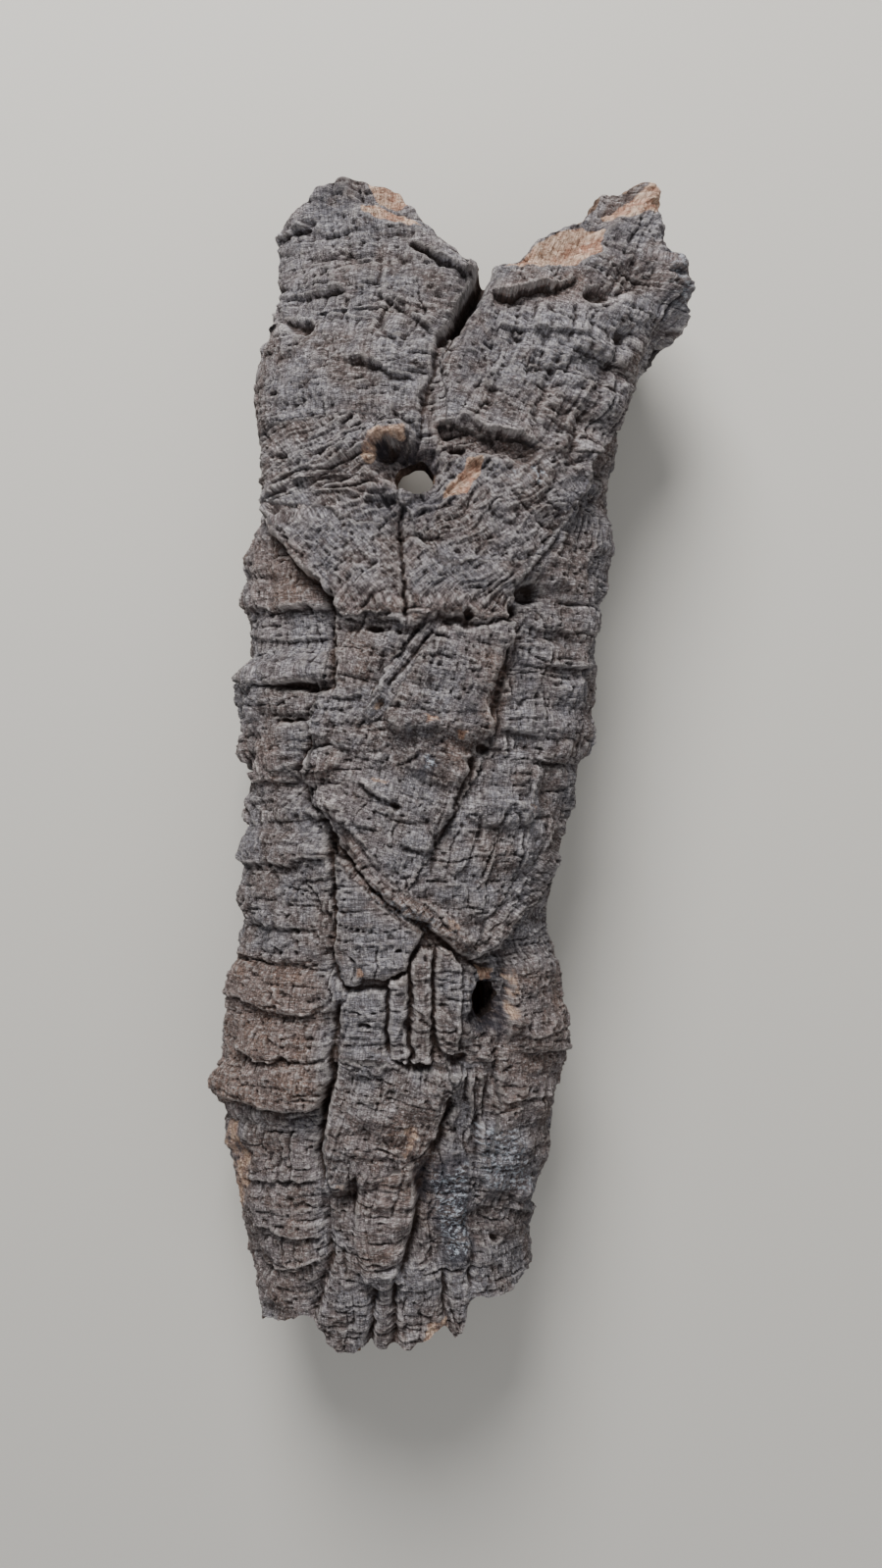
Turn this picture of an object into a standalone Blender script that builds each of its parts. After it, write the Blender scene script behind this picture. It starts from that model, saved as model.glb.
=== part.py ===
"""A forked tube of virgin cork bark, lying on its back with its finest face up.

The bark is one grown piece: a wall about 12 mm thick round the hollow that the branch left, with two limbs
at the top end, a knot hole that is open right through at the fork, and a second knot hole lower down.
+Y runs from the sawn foot to the fork, +X is the right side as seen from above, and +Z is up.

All lengths below are millimetres, and MM turns them into metres when the mesh is made.
"""

import math

import bpy
import numpy as np

MM = 0.001

# Where a place is given as (u, v), it is as seen from an eye point straight above the middle of the bark:
# u to the right and v towards the fork, true to size for what lies SEEN_LEVEL above the ground.
EYE_HEIGHT = 470.0
SEEN_LEVEL = 70.0

# The whole bark, before it is turned so that its length runs along +Y
LOW_END, HIGH_END = -204.0, 216.0
LEAN = math.radians(4.4)
PLACE = (0.09, -9.44)
WALL = 12.0
THINNEST = 5.0

# Depth of the bark from its back to the base of its face, as (y, depth)
DEPTH = ((-200, 68), (-150, 72), (-60, 78), (60, 80), (140, 76), (210, 68))
WIDEST_SHARE = 0.46
FACE_SQUARENESS = 0.84
BACK_SQUARENESS = 0.8
BACK_RAISED = 2.4
# Where the back is worn flat and rests on the ground, as (x, y) and radius
WORN_SPOTS = (((-6, -130), 21), ((-34, 98), 17), ((20, 100), 17))

# The two sides as seen, as (v, u), from the foot up
LEFT_SIDE = (
    (-205, -56), (-179, -58), (-160, -60), (-140, -64.5), (-120, -69), (-111, -69.5), (-107, -66.5),
    (-103, -71), (-80, -71), (-70, -69), (-60, -68), (-55, -65.5), (-30, -65.5), (-20, -64.5), (-15, -62),
    (-10, -64.5), (0, -60.5), (5, -61), (9, -65), (20, -66), (31, -67), (35, -68), (38, -64.5), (41, -61),
    (50, -62), (60, -65), (70, -63.5), (80, -62.5), (86, -58.5), (92, -56), (110, -57), (130, -57.5),
    (138, -56), (143, -53), (160, -50), (178, -50), (220, -48),
)
RIGHT_SIDE = (
    (-205, 27), (-160, 29.5), (-137, 28), (-130, 31), (-120, 35), (-107, 36), (-90, 40), (-76, 41),
    (-66, 39), (-58, 38.5), (-52, 35), (-38, 34), (-30, 34), (-20, 37), (-10, 40.5), (0, 41), (8, 43),
    (13, 46), (40, 48), (60, 50), (80, 53.5), (90, 53), (110, 57), (122, 59.5), (131, 62), (140, 68),
    (150, 71), (165, 72), (185, 69), (200, 68), (220, 68),
)

# The broken ends of the face as seen, as (u, v), from left to right
TOP_EDGE = (
    (-60, 172), (-50, 176), (-46, 180), (-41, 187), (-38, 191), (-35, 196.5), (-29, 199), (-21, 199.5),
    (-13, 196.5), (-9, 193), (-6, 187), (0, 183), (5, 180), (10, 173), (15, 167.5), (20, 174), (27, 177),
    (32, 182), (38, 186), (46, 187), (50, 192), (52, 197), (58, 198), (61, 201), (66, 201), (68, 195),
    (70, 186), (74, 181), (90, 178),
)
FOOT_EDGE = (
    (-70, -178), (-58, -179.5), (-50, -180), (-44, -178.5), (-41, -182), (-38, -189), (-34, -192),
    (-24, -191), (-11, -190.5), (-6, -188), (-1, -184.5), (2, -184.5), (5, -188), (8, -182), (9.5, -175),
    (12, -173), (20, -172), (25, -168.5), (29, -161), (40, -158),
)
# The ends of the back, as (x, y)
BACK_TOP_EDGE = ((-60, 176), (-40, 184), (-20, 172), (10, 168), (30, 186), (55, 190), (80, 180))
BACK_FOOT_EDGE = ((-70, -186), (-45, -176), (-25, -183), (-5, -172), (15, -180), (35, -170))
EDGE_RAGGED = 1.3

# Openings: the knot hole at the fork, the lower knot hole, and the split of the back under the fork
FORK_HOLE = {"centre": (-8.5, 101.5), "radii": (6.4, 6.0)}
LOWER_HOLE = {"centre": (14.4, -74.0), "radii": (4.4, 8.6)}
BACK_SPLIT = {"path": ((-9, 116), (-6, 140), (4, 200)), "radius": 9.5, "widening": 6.0}

# The stub of a side branch on the right limb, from the tube's own surface out
STUB = {"centre": (75.0, 174.0, 42.0), "radius": 12.5, "rise": 11.0}

# Layers of bark that stand above the rest of the face: outline, rise, and how far the edge takes to rise
PLATES = (
    {"name": "left limb", "rise": 5.0, "edge": 1.6, "outline": (
        (-70, 210), (-62, 96), (-56, 90), (-50, 84), (-44, 79), (-42, 72), (-38, 66), (-35, 61), (-30, 58.5),
        (-24, 60), (-16, 60), (-10, 57), (-13, 66), (-13.5, 90), (-8, 95), (-8, 112), (-7, 120), (-5, 128),
        (-2, 133), (0, 140), (0, 145), (3, 149), (7, 156), (10, 163), (13, 168), (12, 210))},
    {"name": "right limb", "rise": 5.0, "edge": 1.6, "outline": (
        (18, 210), (17, 163), (13, 155), (9, 148), (4, 140), (2, 132), (-1, 124), (-3, 119), (-1, 108),
        (1, 97), (-6, 93), (-13, 90), (-13.5, 66), (-9, 61), (-2, 58), (5, 56), (8, 53), (12, 54), (18, 57),
        (22, 62), (24, 66), (27, 74), (33, 80), (38, 88), (42, 97), (45, 105), (49, 112), (54, 118),
        (58, 125), (64, 138), (70, 150), (95, 160), (95, 210))},
    {"name": "collar under the limbs", "rise": 3.5, "edge": 1.0, "outline": (
        (-43, -8), (-37, -15), (-33, -22), (-29, -30), (-22, -37), (-13, -41), (-5, -46), (0, -51), (5, -57),
        (9, -59), (14, -57), (18, -52), (22, -45), (27, -38), (32, -30), (36, -22), (46, -14), (60, 0),
        (60, 62), (-37, 62), (-37, 40), (-42, 30), (-44, 5))},
    {"name": "tongue", "rise": 4.5, "edge": 1.2, "outline": (
        (-36, 58), (-30, 59), (-24, 60), (-9, 57), (-2, 58), (5, 56), (8, 53), (12, 54), (18, 57), (22, 55),
        (21, 40), (17, 25), (15.5, 12.5), (10, 12.5), (8, 8), (6, 0), (3, -8), (3, -12), (0, -18), (-3, -20),
        (-5, -30), (-5, -38), (-12, -36), (-20, -28), (-28, -20), (-36, -13), (-43, -8), (-44, 5), (-42, 20),
        (-41, 33), (-37, 40), (-36, 50))},
    {"name": "flake left of the seam", "rise": 2.8, "edge": 0.8, "outline": (
        (-35, -25), (-35, -45), (-36, -55), (-34, -66), (-32, -68.5), (-28, -65.5), (-24, -65.5), (-19, -67.5),
        (-12, -64.5), (-10, -61), (-4, -50), (-13, -41), (-24, -33))},
    {"name": "knobbly rows", "rise": 2.2, "edge": 1.0, "outline": (
        (-20, -70), (-19, -91), (-10, -95.5), (-3, -94.5), (1, -88), (3, -60), (-6, -54), (-12, -66))},
    {"name": "belly", "rise": 2.8, "edge": 1.6, "outline": (
        (-33, -82), (-36, -100), (-38, -112), (-40, -122), (-40, -131), (-38, -136), (-33, -138), (-30, -134),
        (-27, -131), (-20, -128), (-12, -130), (-6, -125), (-1, -118), (3, -106), (8, -98), (2, -96),
        (-10, -98), (-18, -94), (-21, -80))},
    {"name": "lower tongue", "rise": 2.4, "edge": 1.6, "outline": (
        (-28, -128), (-9, -128), (-8, -142), (-12, -160), (-12, -167), (-20, -170), (-27, -167), (-29, -148))},
    {"name": "roll on the left column", "rise": 2.6, "edge": 5.0, "outline": (
        (-80, -92), (-57, -92.5), (-50, -93.5), (-38, -92), (-37, -100), (-39, -108), (-50, -110), (-62, -108),
        (-80, -106))},
)

# Places where the outer bark has broken away: outline, depth, and how far the edge takes to drop
CHIPS = (
    {"name": "break of the right limb", "depth": 6.5, "edge": 6.0, "outline": (
        (16, 170), (22, 170.5), (28, 171), (34, 170), (43, 169), (45, 172), (50, 176), (53, 181), (56, 186),
        (64, 192), (70, 205), (15, 205))},
    {"name": "break of the left limb", "depth": 5.0, "edge": 5.0, "outline": (
        (-28, 190), (-20, 188), (-14, 185), (-7, 182), (2, 177), (12, 168), (14, 205), (-28, 205))},
    {"name": "chip beside the knot hole", "depth": 1.6, "edge": 1.4, "outline": (
        (2, 95.5), (8, 97.5), (10, 101), (13.5, 104.5), (12.5, 106.5), (9, 106), (7, 103), (4.5, 99))},
    {"name": "chip of the belly", "depth": 1.4, "edge": 1.2, "outline": (
        (-20, -121), (-17, -115), (-8, -114), (-8, -118), (-10, -128), (-14, -124))},
    {"name": "hollow under the right limb", "depth": 3.5, "edge": 4.0, "outline": (
        (-2, 118), (8, 119), (20, 114.5), (30, 110.5), (27, 104), (14, 107), (2, 106), (-1, 110))},
)

# Furrows: path, depth and half width
FURROWS = (
    {"name": "crease of the fork", "depth": 13.0, "width": 5.5, "path": (
        (14, 172), (9, 162), (6, 155), (2, 148), (-0.5, 142))},
    {"name": "crease of the fork, lower", "depth": 6.0, "width": 3.0, "path": (
        (6, 155), (2, 148), (-0.5, 142), (-1, 136), (-4, 129), (-7, 121), (-8, 110))},
    {"name": "left column", "depth": 5.0, "width": 2.4, "path": (
        (-36, 64), (-36, 50), (-37, 40), (-41, 33), (-42, 20), (-44, 5), (-43, -5), (-39, -13), (-37, -20),
        (-35, -30), (-35, -45), (-36, -55), (-34, -65), (-32, -72), (-34, -80), (-36, -92), (-37, -100),
        (-39, -109), (-40, -120), (-41, -131), (-39, -138), (-33, -141), (-28, -146))},
    {"name": "left column, foot", "depth": 3.5, "width": 2.2, "path": (
        (-40, -146), (-38, -152), (-37, -160), (-40, -170), (-43, -180))},
    {"name": "seam of the limbs", "depth": 2.8, "width": 1.5, "path": ((-13.5, 93), (-13.5, 80), (-14, 66))},
    {"name": "right foot of the tongue", "depth": 2.4, "width": 2.0, "path": (
        (23, 58), (22.5, 40), (18.5, 25), (17, 12), (10, 9), (7, 0), (4.5, -10), (0, -19), (-4, -26), (-5, -38))},
    {"name": "groove across the tongue", "depth": 2.0, "width": 1.3, "path": (
        (-1, 57), (-8, 50), (-14, 42), (-19, 36))},
    {"name": "slanting furrow", "depth": 4.0, "width": 2.2, "path": (
        (3, -104), (0, -118), (-4, -127), (-7, -140), (-8.5, -150), (-12, -160), (-14, -168))},
    {"name": "right column", "depth": 3.0, "width": 1.8, "path": (
        (20, -58), (21, -70), (20, -88), (17, -100), (13, -112), (10, -122), (9, -140), (9.5, -155), (10, -174))},
    {"name": "foot, first", "depth": 2.4, "width": 1.3, "path": ((-22, -170), (-23, -180), (-25, -194))},
    {"name": "foot, second", "depth": 2.4, "width": 1.3, "path": ((-15, -166), (-16, -180), (-16, -193))},
    {"name": "foot, third", "depth": 2.0, "width": 1.2, "path": ((0, -166), (2, -180), (3, -188))},
    {"name": "left limb, first", "depth": 1.5, "width": 1.2, "path": ((-37, 186), (-38, 172), (-39, 158))},
    {"name": "left limb, second", "depth": 1.2, "width": 1.1, "path": ((-19, 188), (-18, 170), (-19, 150))},
    {"name": "right limb, first", "depth": 1.8, "width": 1.4, "path": (
        (31, 162), (25, 148), (18, 134), (14, 122))},
    {"name": "right limb, second", "depth": 1.5, "width": 1.2, "path": (
        (44, 162), (40, 150), (34, 138), (30, 126), (27, 114))},
    {"name": "right limb, third", "depth": 2.2, "width": 1.6, "path": (
        (56, 152), (50, 140), (44, 126), (40, 113), (37, 104))},
    {"name": "root of the stub", "depth": 3.0, "width": 2.2, "path": ((69, 172), (68, 160), (66, 150), (62, 141))},
)

# Lower edges of bark that has lifted: path with the raised side on its left, drop, how far the rise reaches
# back, and depth of the groove under the edge
LEDGES = (
    {"drop": 2.6, "reach": 14, "groove": 2.4, "path": ((-63, 35), (-52, 34), (-41, 34.5))},
    {"drop": 1.6, "reach": 12, "groove": 1.2, "path": ((-64, -26), (-58, -27.5), (-52, -27.5), (-38, -24))},
    {"drop": 1.2, "reach": 10, "groove": 0.8, "path": ((-66, -48), (-52, -49), (-37, -49))},
    {"drop": 1.6, "reach": 12, "groove": 1.0, "path": ((-68, -61), (-55, -62), (-38, -60))},
    {"drop": 1.8, "reach": 12, "groove": 1.0, "path": ((-70, -75), (-60, -76), (-50, -77.5), (-36, -77))},
    {"drop": 1.0, "reach": 9, "groove": 1.6, "path": ((-66, -90), (-57, -92), (-54, -91), (-50, -93), (-37, -91))},
    {"drop": 3.4, "reach": 9, "groove": 2.2, "path": ((-68, -106), (-62, -107.5), (-46, -109.5), (-38, -108))},
    {"drop": 1.6, "reach": 10, "groove": 1.0, "path": ((-65, -133), (-55, -133.5), (-47, -134.5), (-42, -134))},
    {"drop": 2.4, "reach": 10, "groove": 1.6, "path": ((-61, -148), (-55, -149), (-50, -152), (-39, -153))},
    {"drop": 1.8, "reach": 8, "groove": 1.0, "path": ((-60, -162), (-48, -163), (-40, -160))},
    {"drop": 1.8, "reach": 12, "groove": 1.4, "path": ((-49, 160.5), (-42, 160), (-36, 160.5), (-28, 162))},
    {"drop": 2.0, "reach": 10, "groove": 1.6, "path": ((-20, 160.5), (-13, 156), (-7, 152), (-2, 149))},
    {"drop": 2.6, "reach": 11, "groove": 2.0, "path": ((-34, 139), (-26, 139), (-20, 137), (-14, 134.5), (-9, 134))},
    {"drop": 2.2, "reach": 7, "groove": 2.4, "path": ((-10, 179), (-3, 175), (4, 171.5), (13, 167.5))},
    {"drop": 3.6, "reach": 16, "groove": 2.0, "path": (
        (-3, 119), (3, 118), (8, 119.5), (13, 117), (20, 115), (26, 113), (31, 110))},
    {"drop": 3.2, "reach": 8, "groove": 2.6, "path": ((16, 163), (24, 161.5), (30, 163), (36, 164), (43, 165.5))},
    {"drop": 2.0, "reach": 10, "groove": 1.6, "path": ((41, 146), (48, 143), (53, 141), (60, 137))},
    {"drop": 1.4, "reach": 10, "groove": 1.0, "path": ((20, 134), (28, 137), (40, 139))},
    {"drop": 3.0, "reach": 12, "groove": 2.4, "path": ((-20, 18), (-12, 17), (-4, 18), (0, 15), (8, 13), (16, 13))},
    {"drop": 2.2, "reach": 8, "groove": 1.6, "path": ((-19, -6), (-12, -10), (-5, -10.5), (3, -9))},
    {"drop": 2.8, "reach": 8, "groove": 1.6, "path": ((-20, -18), (-12, -20.5), (-6, -21), (0, -17))},
    {"drop": 1.8, "reach": 12, "groove": 1.2, "path": ((17, 16), (25, 13.5), (32, 12), (42, 10))},
    {"drop": 2.2, "reach": 9, "groove": 1.4, "path": ((8, -11), (15, -14.5), (22, -13), (28, -8))},
    {"drop": 1.4, "reach": 10, "groove": 1.0, "path": ((28, 42), (38, 40), (48, 40))},
    {"drop": 2.2, "reach": 9, "groove": 1.4, "path": ((-28, -167), (-20, -170), (-12, -168))},
    {"drop": 1.4, "reach": 9, "groove": 0.8, "path": ((10, -124), (17, -124.5), (30, -123))},
    {"drop": 1.4, "reach": 9, "groove": 0.8, "path": ((10, -142), (16, -142.5), (28, -142))},
    {"drop": 1.4, "reach": 9, "groove": 0.8, "path": ((21, -91), (30, -91), (42, -89))},
    {"drop": 1.8, "reach": 9, "groove": 1.0, "path": ((21, -107), (28, -106), (36, -104))},
)

# Raised rims: path, rise and half width
RIDGES = (
    {"name": "curled lip of the knot hole", "rise": 3.4, "width": 2.2, "path": (
        (-44, 98), (-36, 104), (-28, 109), (-20, 112.5), (-14, 112), (-12, 109), (-15, 106), (-21, 103.5),
        (-23.5, 98), (-21, 93))},
    {"name": "left rim of the seam", "rise": 1.8, "width": 2.6, "path": (
        (-37, -11), (-31, -20), (-26, -27), (-20, -33), (-12, -38), (-4, -43), (2, -49), (7, -56))},
    {"name": "right rim of the seam", "rise": 1.6, "width": 2.6, "path": (
        (37, -17), (31, -27), (25, -36), (19, -43), (15, -50), (10, -56))},
    {"name": "rim of the lower knot hole", "rise": 2.2, "width": 2.4, "path": (
        (8, -62), (7, -72), (8, -81), (13, -86), (19, -82), (20.5, -72))},
    {"name": "left edge of the tongue", "rise": 1.2, "width": 2.5, "path": ((-38, 8), (-40, 0), (-39, -8))},
)

# Pits: centre, half width, half height and depth
PITS = (
    {"name": "round the fork hole", "at": (-10, 103), "half": (11.5, 7.5), "depth": 6.5},
    {"name": "round the lower hole", "at": (14, -73), "half": (5.4, 10), "depth": 3.5},
    {"name": "cavity under the right limb", "at": (27, 64), "half": (4, 5), "depth": 6.5},
    {"name": "pit of the left limb", "at": (-42, 148.5), "half": (4.2, 2.6), "depth": 5.0},
    {"name": "socket of the right limb", "at": (47, 160), "half": (4.5, 2.5), "depth": 3.5},
    {"name": "pit under the right limb", "at": (8, 57), "half": (2.6, 2.6), "depth": 4.5},
    {"name": "gap beside the left column", "at": (-39, -111), "half": (1.8, 4), "depth": 4.5},
    {"name": "hollow beside the belly", "at": (-33, -141), "half": (5, 2.6), "depth": 3.0},
    {"name": "worm hole of the left column", "at": (-46.5, 21), "half": (2.6, 1.2), "depth": 3.5},
    {"name": "worm hole below the flake", "at": (-26, -81.5), "half": (2.5, 1.5), "depth": 3.5},
    {"name": "hollow under the knobbly rows", "at": (5, -94), "half": (3, 2.2), "depth": 3.5},
)

# How far apart the points of the maps and of the skin are, before the skin is thinned out
MAP_STEP = 0.8
SKIN_STEP = 1.7
BACK_STEP = 3.4
RIM_LAYERS = 3
TRIANGLES = 9400
# What is left this close to the ground after that is pressed flat onto it
GROUND_MARGIN = 0.5


def fade(value, low, high):
    """0 below low, 1 above high, and smooth between them."""
    share = np.clip((value - low) / (high - low), 0.0, 1.0)
    return share * share * (3.0 - 2.0 * share)


def lattice(i, j, k, seed):
    """A number from -1 to 1 that looks random, and is always the same at one lattice point."""
    mixed = (i * 374761393 + j * 668265263 + k * 1440662683 + seed * 974634777) & 0xFFFFFFFF
    mixed = ((mixed ^ (mixed >> 13)) * 1274126177) & 0xFFFFFFFF
    return ((mixed ^ (mixed >> 16)) & 0xFFFF) / 32767.5 - 1.0


def noise(x, y, z, seed):
    """Smooth noise from -1 to 1 whose lumps are about one unit across."""
    x, y, z = np.broadcast_arrays(x, y, z)
    floors = [np.floor(c).astype(np.int64) for c in (x, y, z)]
    shares = [c - f for c, f in zip((x, y, z), floors)]
    sx, sy, sz = (s * s * (3.0 - 2.0 * s) for s in shares)
    total = np.zeros(x.shape)
    for corner in range(8):
        a, b, c = corner & 1, corner >> 1 & 1, corner >> 2 & 1
        weight = (sx if a else 1 - sx) * (sy if b else 1 - sy) * (sz if c else 1 - sz)
        total += weight * lattice(floors[0] + a, floors[1] + b, floors[2] + c, seed)
    return total


class FaceMap:
    """A map of the face as seen from above, on which the layers, furrows and ledges are raised and cut."""

    def __init__(self, step):
        self.step = step
        self.low = np.array((-92.0, -208.0))
        self.u = np.arange(self.low[0], 98.0, step)
        self.v = np.arange(self.low[1], 218.0, step)
        u, v = np.meshgrid(self.u, self.v)
        # Edges drawn on the shifted places come out ragged, as torn bark is
        self.shifted_u = u + 1.2 * noise(u / 7, v / 7, 0.5, 11) + 0.5 * noise(u / 2.4, v / 2.4, 0.5, 12)
        self.shifted_v = v + 1.2 * noise(u / 7, v / 7, 0.5, 13) + 0.5 * noise(u / 2.4, v / 2.4, 0.5, 14)
        self.height = np.zeros(u.shape)

    def window(self, points, margin):
        """The slice of the map that holds the points with a margin round them."""
        low = ((np.min(points, axis=0) - margin - self.low) / self.step).astype(int)
        high = ((np.max(points, axis=0) + margin - self.low) / self.step).astype(int)
        low, high = np.maximum(low, 0), np.maximum(high, 1)
        return slice(low[1], high[1]), slice(low[0], high[0])

    def along(self, path, margin, closed=False):
        """For the window round a path: distance to it, which side (1 on its left), and share of the way along."""
        points = np.array(path, float)
        window = self.window(points, margin)
        u, v = self.shifted_u[window], self.shifted_v[window]
        ends = np.roll(points, -1, axis=0) if closed else points[1:]
        lengths = np.hypot(*(ends - points[: len(ends)]).T)
        nearest = np.full(u.shape, 1e9)
        side = np.ones(u.shape)
        share = np.zeros(u.shape)
        before = 0.0
        for start, end, length in zip(points, ends, lengths):
            du, dv = (end - start) / length
            t = np.clip((u - start[0]) * du + (v - start[1]) * dv, 0, length)
            away_u, away_v = u - start[0] - t * du, v - start[1] - t * dv
            distance = np.hypot(away_u, away_v)
            closer = distance < nearest
            nearest = np.where(closer, distance, nearest)
            side = np.where(closer, np.sign(du * away_v - dv * away_u + 1e-9), side)
            share = np.where(closer, (before + t) / lengths.sum(), share)
            before += length
        return window, nearest, side, share

    def inside(self, outline, margin):
        """For the window round an outline: distance inward from it, below 0 outside it."""
        window, distance, _, _ = self.along(outline, margin, closed=True)
        u, v = self.shifted_u[window], self.shifted_v[window]
        within = np.zeros(u.shape, bool)
        for (u0, v0), (u1, v1) in zip(outline, outline[1:] + outline[:1]):
            if v0 != v1:
                crosses = (v0 > v) != (v1 > v)
                within ^= crosses & (u < (u1 - u0) * (v - v0) / (v1 - v0) + u0)
        return window, np.where(within, distance, -distance)

    def plate(self, outline, rise, edge):
        """Raises what the outline holds, with a shoulder that is steep at its edge and rounds off inwards."""
        window, depth = self.inside(outline, 3.0)
        steep = fade(depth, -0.5, edge)
        rounded = 1.0 - np.exp(-np.maximum(depth, 0.0) / 5.0)
        self.height[window] += rise * (0.6 * steep + 0.4 * rounded)

    def chip(self, outline, depth, edge):
        window, inward = self.inside(outline, 3.0)
        self.height[window] -= depth * fade(inward, -0.4, edge)

    def furrow(self, path, depth, width):
        """Cuts a sharp groove with wide, low shoulders, which runs out at both ends."""
        window, distance, _, share = self.along(path, 5.0 * width)
        ends = fade(share, 0.0, 0.06) * fade(1.0 - share, 0.0, 0.06)
        groove = 0.7 * np.exp(-((distance / width) ** 2)) + 0.3 * np.exp(-((distance / (2.6 * width)) ** 2))
        self.height[window] -= depth * ends * groove

    def ledge(self, path, drop, reach, groove):
        """Lifts the bark on the left of the path, most at the path itself, and cuts under it."""
        window, distance, side, share = self.along(path, 2.5 * reach)
        ends = fade(share, 0.0, 0.12) * fade(1.0 - share, 0.0, 0.12)
        beyond_ends = fade(4.0 - distance, -2.0, 3.0)
        ends = np.where((share <= 0.0) | (share >= 1.0), ends * beyond_ends, ends)
        back = side * distance
        lifted = fade(back, -0.5, 0.7) * np.exp(-np.maximum(back, 0.0) / (0.5 * reach))
        cut = np.exp(-(((back + 1.2) / 1.1) ** 2))
        self.height[window] += ends * (drop * lifted - groove * cut)

    def ridge(self, path, rise, width):
        window, distance, _, share = self.along(path, 3.0 * width)
        ends = fade(share, 0.0, 0.08) * fade(1.0 - share, 0.0, 0.08)
        self.height[window] += rise * ends * np.exp(-((distance / width) ** 2))

    def pit(self, at, half, depth):
        at, half = np.array(at, float), np.array(half, float)
        window = self.window([at - 1.5 * half, at + 1.5 * half], 2.0)
        across = (self.shifted_u[window] - at[0]) / half[0]
        along = (self.shifted_v[window] - at[1]) / half[1]
        self.height[window] -= depth * fade(-np.hypot(across, along), -1.2, -0.5)

    def blurred(self, radius):
        """The height smoothed over about that radius."""
        reach = int(2.5 * radius / self.step)
        weights = np.exp(-0.5 * (np.arange(-reach, reach + 1) * self.step / radius) ** 2)
        weights /= weights.sum()
        padded = np.pad(self.height, reach, mode="edge")
        rows = sum(w * padded[i : i + self.height.shape[0]] for i, w in enumerate(weights))
        return sum(w * rows[:, i : i + self.height.shape[1]] for i, w in enumerate(weights))

    def read(self, values, u, v):
        """The map's values at places between its points."""
        column = np.clip((u - self.low[0]) / self.step, 0, len(self.u) - 1.001)
        row = np.clip((v - self.low[1]) / self.step, 0, len(self.v) - 1.001)
        i, j = row.astype(int), column.astype(int)
        s, t = row - i, column - j
        low = values[i, j] * (1 - t) + values[i, j + 1] * t
        high = values[i + 1, j] * (1 - t) + values[i + 1, j + 1] * t
        return low * (1 - s) + high * s


def carve_face(face):
    """Puts every layer, break, furrow, ledge, rim and pit of the face on its map."""
    for plate in PLATES:
        face.plate(plate["outline"], plate["rise"], plate["edge"])
    for ledge in LEDGES:
        face.ledge(ledge["path"], ledge["drop"], ledge["reach"], ledge["groove"])
    for furrow in FURROWS:
        face.furrow(furrow["path"], furrow["depth"], furrow["width"])
    for ridge in RIDGES:
        face.ridge(ridge["path"], ridge["rise"], ridge["width"])
    for chip in CHIPS:
        face.chip(chip["outline"], chip["depth"], chip["edge"])
    for pit in PITS:
        face.pit(pit["at"], pit["half"], pit["depth"])
    u, v = np.meshgrid(face.u, face.v)
    face.height += 0.9 * noise(u / 14, v / 6, 0.5, 21) + 0.5 * noise(u / 5, v / 3, 0.5, 22)


def back_relief(around, y):
    """Relief of the sides and back: columns of bark side by side, each crossed by lifted growth rings."""
    shifted = around + 7.0 * noise(0.5, y / 55, 0.5, 31) + 1.5 * noise(around / 6, y / 6, 0.5, 32)
    column = np.floor(shifted / 27.0)
    across = 2.0 * (shifted / 27.0 - column) - 1.0
    rounded = 4.2 * (1.0 - np.abs(across) ** 3) - 2.6
    period = 17.0 + 5.0 * lattice(column.astype(np.int64), 0, 0, 33)
    ring = y / period + 3.0 * lattice(column.astype(np.int64), 1, 0, 34)
    ring += 0.3 * noise(around / 9, y / 25, 0.5, 35)
    lifted = 1.8 * (1.0 - (ring - np.floor(ring))) ** 1.6
    return rounded + lifted + 0.8 * noise(around / 5, y / 4, 0.5, 36)


def base_surface(angle, y):
    """Points of the smooth tube under the relief, and how far each is round it in millimetres from the left."""
    depth = np.interp(y, *np.array(DEPTH, float).T)
    middle = WIDEST_SHARE * depth
    closeness = (EYE_HEIGHT - middle) / (EYE_HEIGHT - SEEN_LEVEL)
    left = closeness * np.interp(y / closeness, *np.array(LEFT_SIDE, float).T)
    right = closeness * np.interp(y / closeness, *np.array(RIGHT_SIDE, float).T)
    c, s = np.cos(angle), np.sin(angle)
    squareness = np.where(s > 0, FACE_SQUARENESS, BACK_SQUARENESS)
    half_depth = np.where(s > 0, depth - middle, middle - BACK_RAISED)
    x = (left + right) / 2 + (right - left) / 2 * np.sign(c) * np.abs(c) ** squareness
    z = middle + half_depth * np.sign(s) * np.abs(s) ** squareness
    return np.stack([x, y + 0 * angle, z], axis=-1)


def even_angles():
    """Angles round the tube at even steps along its skin: SKIN_STEP on the face and sides, BACK_STEP behind."""
    angle = np.linspace(-0.25, 2 * np.pi - 0.25, 1500)
    points = base_surface(angle, np.zeros(angle.shape))
    lengths = np.hypot(*np.diff(points[:, [0, 2]], axis=0).T)
    behind = np.sin(0.5 * (angle[1:] + angle[:-1])) < -0.3
    steps = np.concatenate([[0], np.cumsum(lengths / np.where(behind, BACK_STEP, SKIN_STEP))])
    count = int(steps[-1])
    return np.interp(np.arange(count) * steps[-1] / count, steps, angle)


def normals_of(points):
    """Outward normals of a grid of points whose second direction closes on itself."""
    along = np.gradient(points, axis=0)
    around = np.roll(points, -1, axis=1) - np.roll(points, 1, axis=1)
    normal = np.cross(along, around)
    return normal / np.linalg.norm(normal, axis=-1, keepdims=True)


def ellipse_margin(hole, u, v):
    """How far a place is outside an elliptical hole, below 0 inside it."""
    (cu, cv), (ru, rv) = hole["centre"], hole["radii"]
    return (np.hypot((u - cu) / ru, (v - cv) / rv) - 1.0) * min(ru, rv)


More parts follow.
